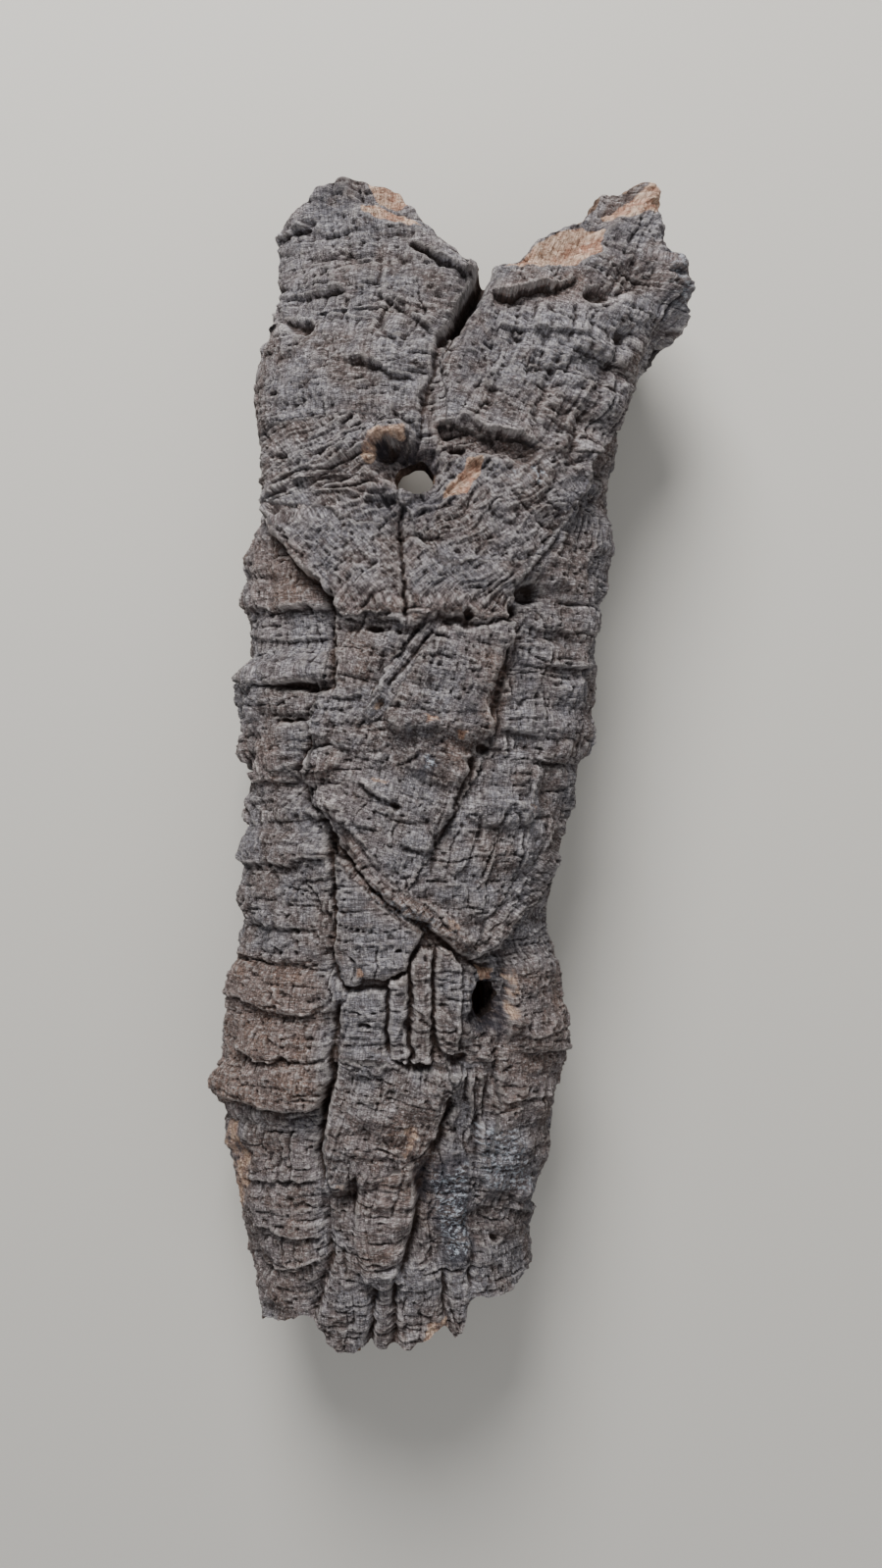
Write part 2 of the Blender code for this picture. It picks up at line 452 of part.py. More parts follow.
def split_margin(x, y):
    """How far a place on the back is from the split under the fork, below 0 inside it."""
    points = np.array(BACK_SPLIT["path"], float)
    margin = np.full(x.shape, 1e9)
    for number, (start, end) in enumerate(zip(points, points[1:])):
        direction = end - start
        t = ((x - start[0]) * direction[0] + (y - start[1]) * direction[1]) / (direction @ direction)
        t = np.clip(t, 0, 1)
        away = np.hypot(x - start[0] - t * direction[0], y - start[1] - t * direction[1])
        radius = BACK_SPLIT["radius"] + BACK_SPLIT["widening"] * (number + t) / (len(points) - 1)
        margin = np.minimum(margin, away - radius)
    return margin


def bark_margin(base, u, v, facing):
    """How far inside the bark each place of the skin is: below 0 past the ends and in the openings."""
    x, y, z = base[..., 0], base[..., 1], base[..., 2]
    face_margin = np.minimum(
        np.interp(u, *np.array(TOP_EDGE, float).T) - v,
        v - np.interp(u, *np.array(FOOT_EDGE, float).T),
    )
    back_margin = np.minimum(
        np.interp(x, *np.array(BACK_TOP_EDGE, float).T) - y,
        y - np.interp(x, *np.array(BACK_FOOT_EDGE, float).T),
    )
    ragged = EDGE_RAGGED * noise(x / 5, y / 9, z / 5, 41)
    share = fade(facing, -0.35, 0.25)
    margin = share * face_margin + (1 - share) * back_margin + ragged
    holes = np.minimum(ellipse_margin(FORK_HOLE, u, v), ellipse_margin(LOWER_HOLE, u, v))
    margin = np.where(facing > 0.2, np.minimum(margin, holes + 0.2 * ragged), margin)
    return np.where(facing < -0.2, np.minimum(margin, split_margin(x, y) + ragged), margin)


def without_corner_contacts(cells):
    """Fills cells of the skin's grid until none meet at a corner only."""
    while True:
        right, up = np.roll(cells, -1, axis=1)[:-1], cells[1:]
        here, both = cells[:-1], np.roll(cells, -1, axis=1)[1:]
        corner = (here & both & ~right & ~up) | (right & up & ~here & ~both)
        if not corner.any():
            return cells
        rows, columns = np.nonzero(corner)
        cells = cells.copy()
        cells[rows, columns] = cells[rows + 1, columns] = True


def skins():
    """The outer and inner points of the bark on one grid, and which cells of the grid hold bark."""
    face = FaceMap(MAP_STEP)
    carve_face(face)
    smooth_height = face.blurred(7.0)

    angle, y = np.meshgrid(even_angles(), np.arange(LOW_END, HIGH_END, SKIN_STEP))
    base = base_surface(angle, y)
    normal = normals_of(base)
    facing = normal[..., 2]
    closeness = (EYE_HEIGHT - base[..., 2]) / (EYE_HEIGHT - SEEN_LEVEL)
    u, v = base[..., 0] / closeness, base[..., 1] / closeness
    around = np.degrees(angle) * 0.85

    on_face = fade(facing, 0.08, 0.45)
    relief = on_face * face.read(face.height, u, v) + (1 - on_face) * back_relief(around, y)
    for spot, radius in WORN_SPOTS:
        from_spot = np.hypot(base[..., 0] - spot[0], base[..., 1] - spot[1])
        relief += np.where(facing < 0, 6.0 * fade(from_spot, 1.3 * radius, 0.9 * radius), 0.0)
    from_stub = np.linalg.norm(base - np.array(STUB["centre"]), axis=-1) / STUB["radius"]
    relief += STUB["rise"] * np.exp(-(from_stub**4))
    under = on_face * face.read(smooth_height, u, v) - WALL + 1.5 * noise(around / 18, y / 40, 0.5, 51)
    under = np.minimum(under, relief - THINNEST)

    outer = base + normal * relief[..., None]
    inner = base + normal * under[..., None]
    outer[..., 2] = np.maximum(outer[..., 2], 0.0)
    inner[..., 2] = np.maximum(inner[..., 2], THINNEST)

    margin = bark_margin(base, u, v, facing)
    corners = (margin + np.roll(margin, -1, axis=1)) / 2
    cells = (corners[:-1] + corners[1:]) / 2 > 0
    return outer, inner, without_corner_contacts(cells)


def bark_mesh(name):
    """Joins the two skins along every edge of the bark, so that the wall is one closed body."""
    outer, inner, cells = skins()
    rows, columns = outer.shape[:2]
    number = np.arange(rows * columns).reshape(rows, columns)
    a, b = number[:-1], np.roll(number, -1, axis=1)[:-1]
    d, c = number[1:], np.roll(number, -1, axis=1)[1:]
    quads = np.stack([a, d, c, b], axis=-1)[cells]

    shut = np.zeros((1, columns), bool)
    below, above = np.vstack([shut, cells[:-1]]), np.vstack([cells[1:], shut])
    left, right = np.roll(cells, 1, axis=1), np.roll(cells, -1, axis=1)
    open_edges = np.concatenate([
        np.stack([start[cells & ~beside], end[cells & ~beside]], axis=-1)
        for start, end, beside in ((a, d, left), (d, c, above), (c, b, right), (b, a, below))
    ])

    rim = np.unique(open_edges)
    place_in_rim = np.zeros(rows * columns, int)
    place_in_rim[rim] = np.arange(len(rim))
    outer, inner = outer.reshape(-1, 3), inner.reshape(-1, 3)
    for skin in (outer, inner):
        smooth_rim(skin, open_edges)

    layers = [rim]
    points = [outer, inner]
    count = 2 * rows * columns
    for layer in range(1, RIM_LAYERS):
        share = layer / RIM_LAYERS
        between = (1 - share) * outer[rim] + share * inner[rim]
        rough = [noise(*(between.T / 6), seed) for seed in (61, 62, 63)]
        points.append(between + 1.1 * math.sin(math.pi * share) * np.stack(rough, axis=-1))
        layers.append(count + np.arange(len(rim)))
        count += len(rim)
    layers.append(rim + rows * columns)
    walls = []
    start, end = place_in_rim[open_edges].T
    for near, far in zip(layers, layers[1:]):
        walls.append(np.stack([near[end], near[start], far[start], far[end]], axis=-1))

    faces = np.concatenate([quads, quads[:, ::-1] + rows * columns, *walls])
    used, faces = np.unique(faces, return_inverse=True)
    points = np.concatenate(points)[used]
    mesh = bpy.data.meshes.new(name)
    mesh.from_pydata((placed(points) * MM).tolist(), [], faces.reshape(-1, 4).tolist())
    return mesh


def smooth_rim(skin, edges):
    """Rounds off the steps that the grid leaves along the edges of the bark."""
    for _ in range(3):
        total = np.zeros(skin.shape)
        count = np.zeros(len(skin))
        for here, there in (edges.T, edges.T[::-1]):
            np.add.at(total, here, skin[there])
            np.add.at(count, here, 1)
        rim = count > 0
        skin[rim] = 0.5 * skin[rim] + 0.5 * total[rim] / count[rim, None]


def placed(points):
    """Turns the bark's length along +Y and puts the middle of its box over the origin."""
    x, y, z = points.T
    turned_x = math.cos(LEAN) * x - math.sin(LEAN) * y
    turned_y = math.sin(LEAN) * x + math.cos(LEAN) * y
    return np.stack([turned_x + PLACE[0], turned_y + PLACE[1], z], axis=-1)


def cork_material():
    material = bpy.data.materials.new("cork")
    material.use_nodes = True
    shader = material.node_tree.nodes["Principled BSDF"]
    shader.inputs["Base Color"].default_value = (0.235, 0.185, 0.145, 1.0)
    shader.inputs["Roughness"].default_value = 0.92
    shader.inputs["Metallic"].default_value = 0.0
    return material


def thinned(bark):
    """The mesh with fewer triangles, flat where it rests."""
    thin_out = bark.modifiers.new("thin_out", "DECIMATE")
    bark.data.calc_loop_triangles()
    thin_out.ratio = TRIANGLES / len(bark.data.loop_triangles)
    mesh = bpy.data.meshes.new_from_object(bark.evaluated_get(bpy.context.evaluated_depsgraph_get()))
    bark.modifiers.clear()
    for point in mesh.vertices:
        if point.co.z < GROUND_MARGIN * MM:
            point.co.z = 0.0
    return mesh


def main():
    for old in list(bpy.data.objects):
        bpy.data.objects.remove(old)
    bark = bpy.data.objects.new("cork_bark", bark_mesh("thick_skin"))
    bpy.context.scene.collection.objects.link(bark)
    bark.data = thinned(bark)
    bark.data.materials.append(cork_material())
    bark.data.shade_smooth()


main()
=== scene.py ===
"""The forked tube of cork bark with its full detail, on a pale floor, seen from straight above its face.

The form is the same as the solid's: the outlines, layers, furrows and openings below are the same named
values, in millimetres. This script makes them finer and adds cracks, wrinkles, broken edges and materials.
"""

import math

import bpy
import numpy as np
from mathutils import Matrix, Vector


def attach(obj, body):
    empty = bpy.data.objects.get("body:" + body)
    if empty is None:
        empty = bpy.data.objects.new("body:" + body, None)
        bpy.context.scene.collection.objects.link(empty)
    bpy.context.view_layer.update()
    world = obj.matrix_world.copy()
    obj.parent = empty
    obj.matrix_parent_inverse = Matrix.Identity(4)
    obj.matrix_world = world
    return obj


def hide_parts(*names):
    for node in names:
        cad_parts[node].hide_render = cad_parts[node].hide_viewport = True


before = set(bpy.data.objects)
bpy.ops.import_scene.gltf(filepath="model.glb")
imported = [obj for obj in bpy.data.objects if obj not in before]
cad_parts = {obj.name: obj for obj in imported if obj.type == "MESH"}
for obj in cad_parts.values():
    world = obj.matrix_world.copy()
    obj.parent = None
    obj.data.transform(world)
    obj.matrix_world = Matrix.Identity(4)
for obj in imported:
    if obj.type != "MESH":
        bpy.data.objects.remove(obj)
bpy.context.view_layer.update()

MM = 0.001

# Where a place is given as (u, v), it is as seen from an eye point straight above the middle of the bark:
# u to the right and v towards the fork, true to size for what lies SEEN_LEVEL above the ground.
EYE_HEIGHT = 470.0
SEEN_LEVEL = 70.0

# The whole bark, before it is turned so that its length runs along +Y
LOW_END, HIGH_END = -204.0, 216.0
LEAN = math.radians(4.4)
PLACE = (0.09, -9.44)
WALL = 12.0
THINNEST = 5.0

# Depth of the bark from its back to the base of its face, as (y, depth)
DEPTH = ((-200, 64), (-150, 68), (-60, 73.5), (60, 76.5), (140, 69.5), (210, 61.5))
WIDEST_SHARE = 0.46
FACE_SQUARENESS = 0.84
BACK_SQUARENESS = 0.8
BACK_RAISED = 2.4
# Where the back is worn flat and rests on the ground, as (x, y) and radius
WORN_SPOTS = (((-6, -130), 21), ((-34, 92), 17), ((22, 92), 17))

# The two sides as seen, as (v, u), from the foot up
LEFT_SIDE = (
    (-205, -56), (-179, -58), (-160, -60), (-140, -64.5), (-120, -69), (-111, -69.5), (-107, -66.5),
    (-103, -71), (-80, -71), (-70, -69), (-60, -68), (-55, -65.5), (-30, -65.5), (-20, -64.5), (-15, -62),
    (-10, -64.5), (0, -60.5), (5, -61), (9, -65), (20, -66), (31, -67), (35, -68), (38, -64.5), (41, -61),
    (50, -62), (60, -65), (70, -63.5), (80, -62.5), (86, -58.5), (92, -56), (110, -57), (130, -57.5),
    (138, -56), (143, -53), (160, -50), (178, -50), (220, -48),
)
RIGHT_SIDE = (
    (-205, 27), (-160, 29.5), (-137, 28), (-130, 31), (-120, 35), (-107, 36), (-90, 40), (-76, 41),
    (-66, 39), (-58, 38.5), (-52, 35), (-38, 34), (-30, 34), (-20, 37), (-10, 40.5), (0, 41), (8, 43),
    (13, 46), (40, 48), (60, 50), (80, 53.5), (90, 53), (110, 57), (122, 59.5), (131, 62), (140, 68),
    (150, 71), (165, 72), (185, 69), (200, 68), (220, 68),
)

# The broken ends of the face as seen, as (u, v), from left to right
TOP_EDGE = (
    (-60, 172), (-50, 176), (-46, 180), (-41, 187), (-38, 191), (-35, 196.5), (-29, 199), (-21, 199.5),
    (-13, 196.5), (-9, 193), (-6, 187), (0, 183), (5, 180), (10, 173), (15, 167.5), (20, 174), (27, 177),
    (32, 182), (38, 186), (46, 187), (50, 192), (52, 197), (58, 198), (61, 201), (66, 201), (68, 195),
    (70, 186), (74, 181), (90, 178),
)
FOOT_EDGE = (
    (-70, -178), (-58, -179.5), (-50, -180), (-44, -178.5), (-41, -182), (-38, -189), (-34, -192),
    (-24, -191), (-11, -190.5), (-6, -188), (-1, -184.5), (2, -184.5), (5, -188), (8, -182), (9.5, -175),
    (12, -173), (20, -172), (25, -168.5), (29, -161), (40, -158),
)
# The ends of the back, as (x, y)
BACK_TOP_EDGE = ((-60, 176), (-40, 184), (-20, 172), (10, 168), (30, 186), (55, 190), (80, 180))
BACK_FOOT_EDGE = ((-70, -186), (-45, -176), (-25, -183), (-5, -172), (15, -180), (35, -170))
EDGE_RAGGED = 1.3

# Openings: the knot hole at the fork, the lower knot hole, and the split of the back under the fork
FORK_HOLE = {"centre": (-8.5, 102.0), "radii": (6.6, 6.2)}
LOWER_HOLE = {"centre": (15.2, -73.4), "radii": (4.3, 6.8)}
BACK_SPLIT = {"path": ((-9, 122), (-6, 146), (4, 205)), "radius": 14.0, "widening": 9.0}

# The stub of a side branch on the right limb, from the tube's own surface out
STUB = {"centre": (75.0, 174.0, 42.0), "radius": 12.5, "rise": 11.0}

# Layers of bark from the lowest up. Each brings what its outline holds to its own rise, which takes the
# length edge, and from there it rounds up by its crown until it is reach inside the outline.
LAYERS = (
    {"name": "left column", "rise": 0.0, "crown": 3.8, "reach": 14, "edge": 2.5, "outline": (
        (-100, -215), (-100, 100), (-37, 100), (-35.5, 66), (-35, 50), (-35.3, 33), (-41, 32),
        (-42.5, 20),
        (-44.5, 5), (-44, -4), (-37, -12), (-36, -20), (-35.3, -45), (-35.5, -58), (-33.5, -63),
        (-31.5, -68), (-32, -73), (-34.5, -79), (-36, -90), (-37, -100), (-38.5, -107), (-40, -113),
        (-40.5, -130), (-40, -137), (-39, -150), (-37, -160), (-40, -170), (-43, -180), (-45, -215))},
    {"name": "right column", "rise": 0.0, "crown": 3.0, "reach": 10, "edge": 1.5, "outline": (
        (100, 0), (38, -16), (33, -30), (27, -39), (21, -48), (19, -55), (20.5, -64), (21.5, -75),
        (20, -88), (18, -98), (15.5, -108), (12, -120), (10.5, -135), (10, -150), (10, -175), (12, -215),
        (100, -215))},
    {"name": "foot, first", "rise": 0.0, "crown": 2.6, "reach": 6, "edge": 1.2, "outline": (
        (-38, -150), (-30, -143), (-24, -150), (-22.5, -168), (-24, -180), (-26, -215), (-46, -215),
        (-43, -182), (-39, -170), (-36, -160))},
    {"name": "foot, second", "rise": 0.6, "crown": 2.0, "reach": 3, "edge": 0.9, "outline": (
        (-22, -166), (-15.5, -166), (-16.5, -180), (-17, -215), (-25, -215), (-23, -180))},
    {"name": "foot, third", "rise": 0.4, "crown": 2.8, "reach": 7, "edge": 1.0, "outline": (
        (-15, -166), (-10, -160), (-6, -158), (0, -165), (1.5, -180), (2, -215), (-16, -215),
        (-15.5, -180))},
    {"name": "foot, fourth", "rise": 0.2, "crown": 1.8, "reach": 4, "edge": 1.0, "outline": (
        (1, -158), (9, -158), (9, -215), (3, -215), (2.5, -180))},
    {"name": "inside the seam", "rise": 3.4, "crown": 1.2, "reach": 8.0, "edge": 1.0, "outline": (
        (-44.5, -6), (-37, -13), (-32, -22), (-28, -29), (-25.5, -33), (-20, -38.5), (-14.7, -42.5),
        (-10.5, -46), (-4.6, -48), (0, -52.5), (4, -56.5), (9, -60), (14, -58), (18, -53.5), (23, -46.5),
        (29, -39.5), (34, -30.5), (39, -17), (60, -10), (60, 62), (-36, 62), (-36, 33), (-41, 32),
        (-43, 20), (-45, 5))},
    {"name": "right plane", "rise": 3.8, "crown": 2.6, "reach": 13.0, "edge": 1.6, "outline": (
        (100, 112), (22, 100), (21, 60), (22.8, 54), (23, 46), (21, 41), (18, 36.7), (17, 29.3),
        (16, 22.4),
        (17, 15), (11.5, 8), (7.5, 1), (5.5, -4), (4.5, -10), (1, -16), (-1, -20), (-3, -30), (-3, -40),
        (0, -47), (4, -54), (9, -58), (14, -57), (18, -53), (23, -46), (29, -39), (34, -30), (39, -17),
        (100, -10))},
    {"name": "flap of the right plane", "rise": 6.6, "crown": 1.4, "reach": 5.0, "edge": 0.8, "outline": (
        (7, -9), (12, -1), (18, -2), (23, -4.5), (28, -8), (29, -10.5), (26, -13), (20, -13), (12, -14))},
    {"name": "tongue", "rise": 4.8, "crown": 1.4, "reach": 6.0, "edge": 2.6, "outline": (
        (-35, 60), (22, 58), (22.8, 46), (20.7, 41), (18, 36.7), (17, 29.3), (16, 22.4), (16.5, 15.5),
        (11.5, 13.5), (9, 5), (6, -1), (4.5, -6), (4, -10), (1, -15), (-2, -18), (-4, -22), (-5, -30),
        (-5, -38), (-12, -37), (-20, -29), (-28, -19), (-36, -12), (-42, -2), (-40, 8), (-36, 14),
        (-41, 22), (-41, 31), (-36, 33))},
    {"name": "shelf of the tongue", "rise": 6.0, "crown": 1.6, "reach": 5.0, "edge": 0.8, "outline": (
        (-41.5, 31.5), (-33, 31), (-25, 29.5), (-21.5, 25), (-20, 17), (-25, 10.5), (-31, 11),
        (-36, 13.5),
        (-41, 13), (-43, 20))},
    {"name": "ear lobe", "rise": 6.0, "crown": 2.2, "reach": 3.5, "edge": 0.9, "outline": (
        (-45.5, 9), (-42, 12), (-36, 13), (-31, 10.5), (-32, 6.5), (-36, 3), (-39.5, -0.5), (-41.8, -2.5),
        (-44, 0), (-45.2, 4))},
    {"name": "folds below the ear lobe", "rise": 5.6, "crown": 2.0, "reach": 5.0, "edge": 1.0, "outline": (
        (-35, 2), (-30, 5), (-24, 4), (-18, -2), (-15, -10), (-12, -18), (-10, -30), (-16, -33),
        (-24, -25),
        (-30, -15), (-37, -9), (-39, -4))},
    {"name": "main block of the tongue", "rise": 7.0, "crown": 3.2, "reach": 9.0, "edge": 3.6, "outline": (
        (-1, 57), (4, 54), (8, 53), (12, 54), (22.8, 55), (23, 46.3), (21.3, 41), (18.8, 36.7),
        (17.6, 29.3),
        (16.5, 22.4), (16.8, 15.2), (8, 13), (5, 14.5), (0, 15.5), (-4, 17.5), (-9, 17), (-17, 17.5),
        (-19.5, 24), (-20, 30), (-14, 38), (-8, 46))},
    {"name": "top knob of the tongue", "rise": 9.4, "crown": 1.8, "reach": 5.0, "edge": 2.0, "outline": (
        (3, 55), (8, 53.5), (12, 54.5), (22.5, 55.5), (22.8, 47), (20, 43.5), (10, 43), (4, 45.5))},
    {"name": "lower block of the tongue", "rise": 5.4, "crown": 3.2, "reach": 6.0, "edge": 1.4, "outline": (
        (-11, 13), (-6, 15.5), (0, 14.5), (6, 12.5), (9.5, 11), (9.4, 6), (7.4, 1), (6, -0.8), (0, -0.8),
        (-6, -0.5), (-9.5, 2), (-11.5, 7))},
    {"name": "last block of the tongue", "rise": 5.2, "crown": 2.6, "reach": 5.0, "edge": 1.2, "outline": (
        (-10, -2.5), (5, -2.2), (4.6, -6), (4, -10.3), (1, -15), (-3, -17.5), (-6, -12), (-10, -9.5))},
    {"name": "foot of the tongue", "rise": 4.6, "crown": 1.6, "reach": 4.0, "edge": 0.8, "outline": (
        (-14, -12), (-6, -12.5), (-2, -18.5), (-4, -23), (-10, -22), (-16, -21), (-17, -17))},
    {"name": "belly", "rise": 2.6, "crown": 3.8, "reach": 14.0, "edge": 1.2, "outline": (
        (-34, -88), (-34, -69), (-18, -69), (-18, -90), (-10, -97), (2, -96), (9, -97), (3, -106),
        (-1, -118), (-6, -125), (-12, -130), (-20, -128), (-27, -131), (-30, -134), (-33, -138),
        (-38, -136),
        (-40, -131), (-40, -122), (-38, -112), (-36, -100))},
    {"name": "flake left of the seam", "rise": 3.6, "crown": 1.6, "reach": 8.0, "edge": 0.7, "outline": (
        (-34.5, -24), (-35, -45), (-35.2, -58), (-34.5, -64), (-32.8, -67.5), (-28, -67.5),
        (-26.4, -65.7),
        (-23, -65.7), (-19.5, -67), (-15, -65), (-11, -63), (-10, -58), (-6, -50), (-12, -44), (-23, -36),
        (-30, -26))},
    {"name": "first knobbly row", "rise": 4.2, "crown": 1.3, "reach": 3.5, "edge": 0.8, "outline": (
        (-17.5, -66), (-17.5, -92), (-11, -94.5), (-10.6, -63), (-14, -66))},
    {"name": "second knobbly row", "rise": 4.3, "crown": 1.4, "reach": 3.5, "edge": 0.8, "outline": (
        (-9.8, -60), (-9.8, -95), (-4, -95), (-3, -84), (-3, -56), (-7, -54))},
    {"name": "third knobbly row", "rise": 3.4, "crown": 1.4, "reach": 3.5, "edge": 0.8, "outline": (
        (-2.4, -55), (-2.4, -84), (0, -92), (5, -91), (6.5, -80), (6, -62), (3, -56))},
    {"name": "lower tongue", "rise": 3.2, "crown": 3.2, "reach": 9, "edge": 1.4, "outline": (
        (-29, -126), (-9, -127), (-7.5, -142), (-11.5, -160), (-12, -167), (-20, -170), (-27, -167),
        (-29.5, -148))},
    {"name": "roll on the left column", "rise": 4.4, "crown": 2.8, "reach": 7, "edge": 2.6, "outline": (
        (-100, -91.5), (-57, -92.5), (-50, -93), (-36.5, -92), (-37, -100), (-38.5, -107), (-42, -109.5),
        (-50, -110.5), (-62, -108.5), (-100, -106))},
    {"name": "both limbs", "rise": 7.6, "crown": 0.0, "reach": 10, "edge": 2.2, "outline": (
        (-120, 230), (-120, 95), (-62, 96), (-56, 88), (-48, 76), (-43, 70), (-36, 63), (-33, 58),
        (-30, 56.5), (-25, 54.5), (-20, 55.5), (-15, 54), (-11.8, 52.5), (-6, 53), (-0.6, 57), (4, 56),
        (7.7, 55), (12, 53.5), (16, 54), (20, 56), (23, 60), (23.5, 66), (27, 72), (33, 79), (38.4, 87),
        (42.6, 97), (45, 105), (48, 112), (54, 118), (58, 125), (64, 138), (70, 150), (120, 170),
        (120, 230), (18, 230), (16, 170), (10.5, 160), (5, 151), (3.6, 151.5), (8, 161), (12.6, 169),
        (12, 230))},
    {"name": "left limb", "rise": 8.0, "crown": 4.6, "reach": 22.0, "edge": 0.7, "outline": (
        (-120, 230), (-120, 95), (-62, 96), (-56, 88), (-48, 76), (-43, 70), (-36, 63), (-33, 58),
        (-30, 56.5), (-25, 54.5), (-20, 55.5), (-15, 54), (-12.2, 52), (-12.7, 66), (-13, 80),
        (-12.6, 90),
        (-8, 95), (-7.5, 112), (-7, 120), (-5, 128), (-2.4, 136), (-1.4, 145), (2, 151), (5, 158),
        (9, 163.5), (12.6, 168), (12, 230))},
    {"name": "right limb", "rise": 8.0, "crown": 4.6, "reach": 22.0, "edge": 0.7, "outline": (
        (18, 230), (17, 167), (12.6, 160), (9, 152), (4, 144), (1.2, 136), (-2, 128), (-4, 119),
        (-2, 108),
        (0, 97), (-6, 94), (-12, 90), (-12.2, 66), (-11.8, 52.5), (-6, 53), (-0.6, 57), (4, 56),
        (7.7, 55),
        (12, 53.5), (16, 54), (20, 56), (23, 60), (23.5, 66), (27, 72), (33, 79), (38.4, 87), (42.6, 97),
        (45, 105), (48, 112), (54, 118), (58, 125), (64, 138), (70, 150), (120, 170), (120, 230))},
)

# Growth rings that bulge between the marks, given as v: outline, bulge and marks
RINGS = (
    {"name": "left column", "bulge": 0.9, "tilt": 0.02, "outline": (
        (-100, -215), (-100, 92), (-50, 92), (-37, 66), (-35.5, 33), (-42, 30), (-44, 0), (-37, -14),
        (-35.5, -58), (-32, -70), (-36, -92), (-40, -112), (-40, -138), (-37, -160), (-44, -185),
        (-45, -215)),
     "marks": (-215, -178, -163, -151, -134, -121, -109, -93, -76.5, -60, -48, -27, -11, -1, 12, 23, 34.6,
               49, 59, 70, 82, 92)},
    {"name": "right plane", "bulge": 0.8, "tilt": -0.03, "outline": (
        (22, 100), (22, 54), (18, 36), (16, 16), (6, 0), (2, -12), (24, -16), (60, -14), (60, 100)),
     "marks": (-20, -9, 9, 17, 28, 40, 51, 62, 74, 86, 100)},
    {"name": "right column", "bulge": 0.9, "tilt": 0.04, "outline": (
        (20, -54), (21, -75), (17, -100), (11, -130), (11, -215), (60, -215), (60, -54)),
     "marks": (-215, -165, -153, -141, -132, -124, -114, -106, -98, -91, -83, -75, -66, -58, -50)},
    {"name": "left limb", "bulge": 1.1, "tilt": -0.1, "outline": (
        (-100, 215), (-100, 118), (-50, 118), (-26, 122), (-9, 120), (-3, 134), (0, 146), (10, 166),
        (10, 215)),
     "marks": (104, 121, 134.5, 148, 158.5, 170, 179, 189, 200)},
    {"name": "right limb", "bulge": 0.9, "tilt": 0.12, "outline": (
        (6, 128), (20, 118), (48, 116), (70, 150), (90, 160), (90, 215), (18, 215), (12, 156)),
     "marks": (104, 118, 127, 135.5, 144, 152, 162, 172, 184, 196)},
    {"name": "tongue", "bulge": 1.0, "tilt": -0.1, "outline": (
        (-36, 58), (20, 54), (17, 36), (14, 18), (-18, 18), (-30, 0), (-42, 10), (-41, 30)),
     "marks": (-4, 6, 16, 25, 33, 43, 50, 58)},
    {"name": "belly", "bulge": 0.9, "tilt": 0.1, "outline": (
        (-34, -74), (-34, -95), (-38, -112), (-40, -136), (-28, -133), (-8, -127), (6, -98), (-18, -90)),
     "marks": (-140, -131, -121, -113, -104, -95, -84, -74)},
    {"name": "lower tongue", "bulge": 0.9, "tilt": 0.1, "outline": (
        (-29, -128), (-9, -128), (-8, -142), (-12, -167), (-27, -167), (-29, -148)),
     "marks": (-172, -160, -152, -143, -134, -126)},
)

# Places where the outer bark has broken away: outline, depth, and how far the edge takes to drop
CHIPS = (
    {"name": "break of the right limb", "depth": 7.5, "edge": 6.0, "outline": (
        (16, 170), (22, 170.5), (28, 171), (34, 170), (43, 169), (45, 172), (50, 176), (53, 181),
        (56, 186),
        (64, 192), (70, 205), (15, 205))},
    {"name": "break of the left limb", "depth": 6.0, "edge": 5.0, "outline": (
        (-28, 190), (-20, 188), (-14, 185), (-7, 182), (2, 177), (12, 168), (14, 205), (-28, 205))},
    {"name": "chip beside the knot hole", "depth": 1.8, "edge": 1.4, "outline": (
        (0.8, 95), (7.2, 95.2), (9.6, 99.2), (12.3, 102.6), (13, 106.3), (8.3, 106.3), (7.6, 103.6),
        (2.8, 97.1))},
    {"name": "chip of the belly", "depth": 1.4, "edge": 1.2, "outline": (
        (-20, -121), (-17, -115), (-8, -114), (-8, -118), (-10, -128), (-14, -124))},
    {"name": "hollow under the right limb", "depth": 3.0, "edge": 4.0, "outline": (
        (-2, 118), (8, 119), (20, 114.5), (30, 110.5), (27, 104), (14, 107), (2, 106), (-1, 110))},
    {"name": "wedge of the left column", "depth": 3.4, "edge": 0.9, "outline": (
        (-61, 34.2), (-41.5, 34.4), (-42.3, 30.4), (-47, 30.8), (-53, 32.6))},
    {"name": "notch of the left column", "depth": 1.8, "edge": 0.9, "outline": (
        (-41.5, -42.5), (-36.5, -42.8), (-36.4, -49), (-41, -48.5))},
)

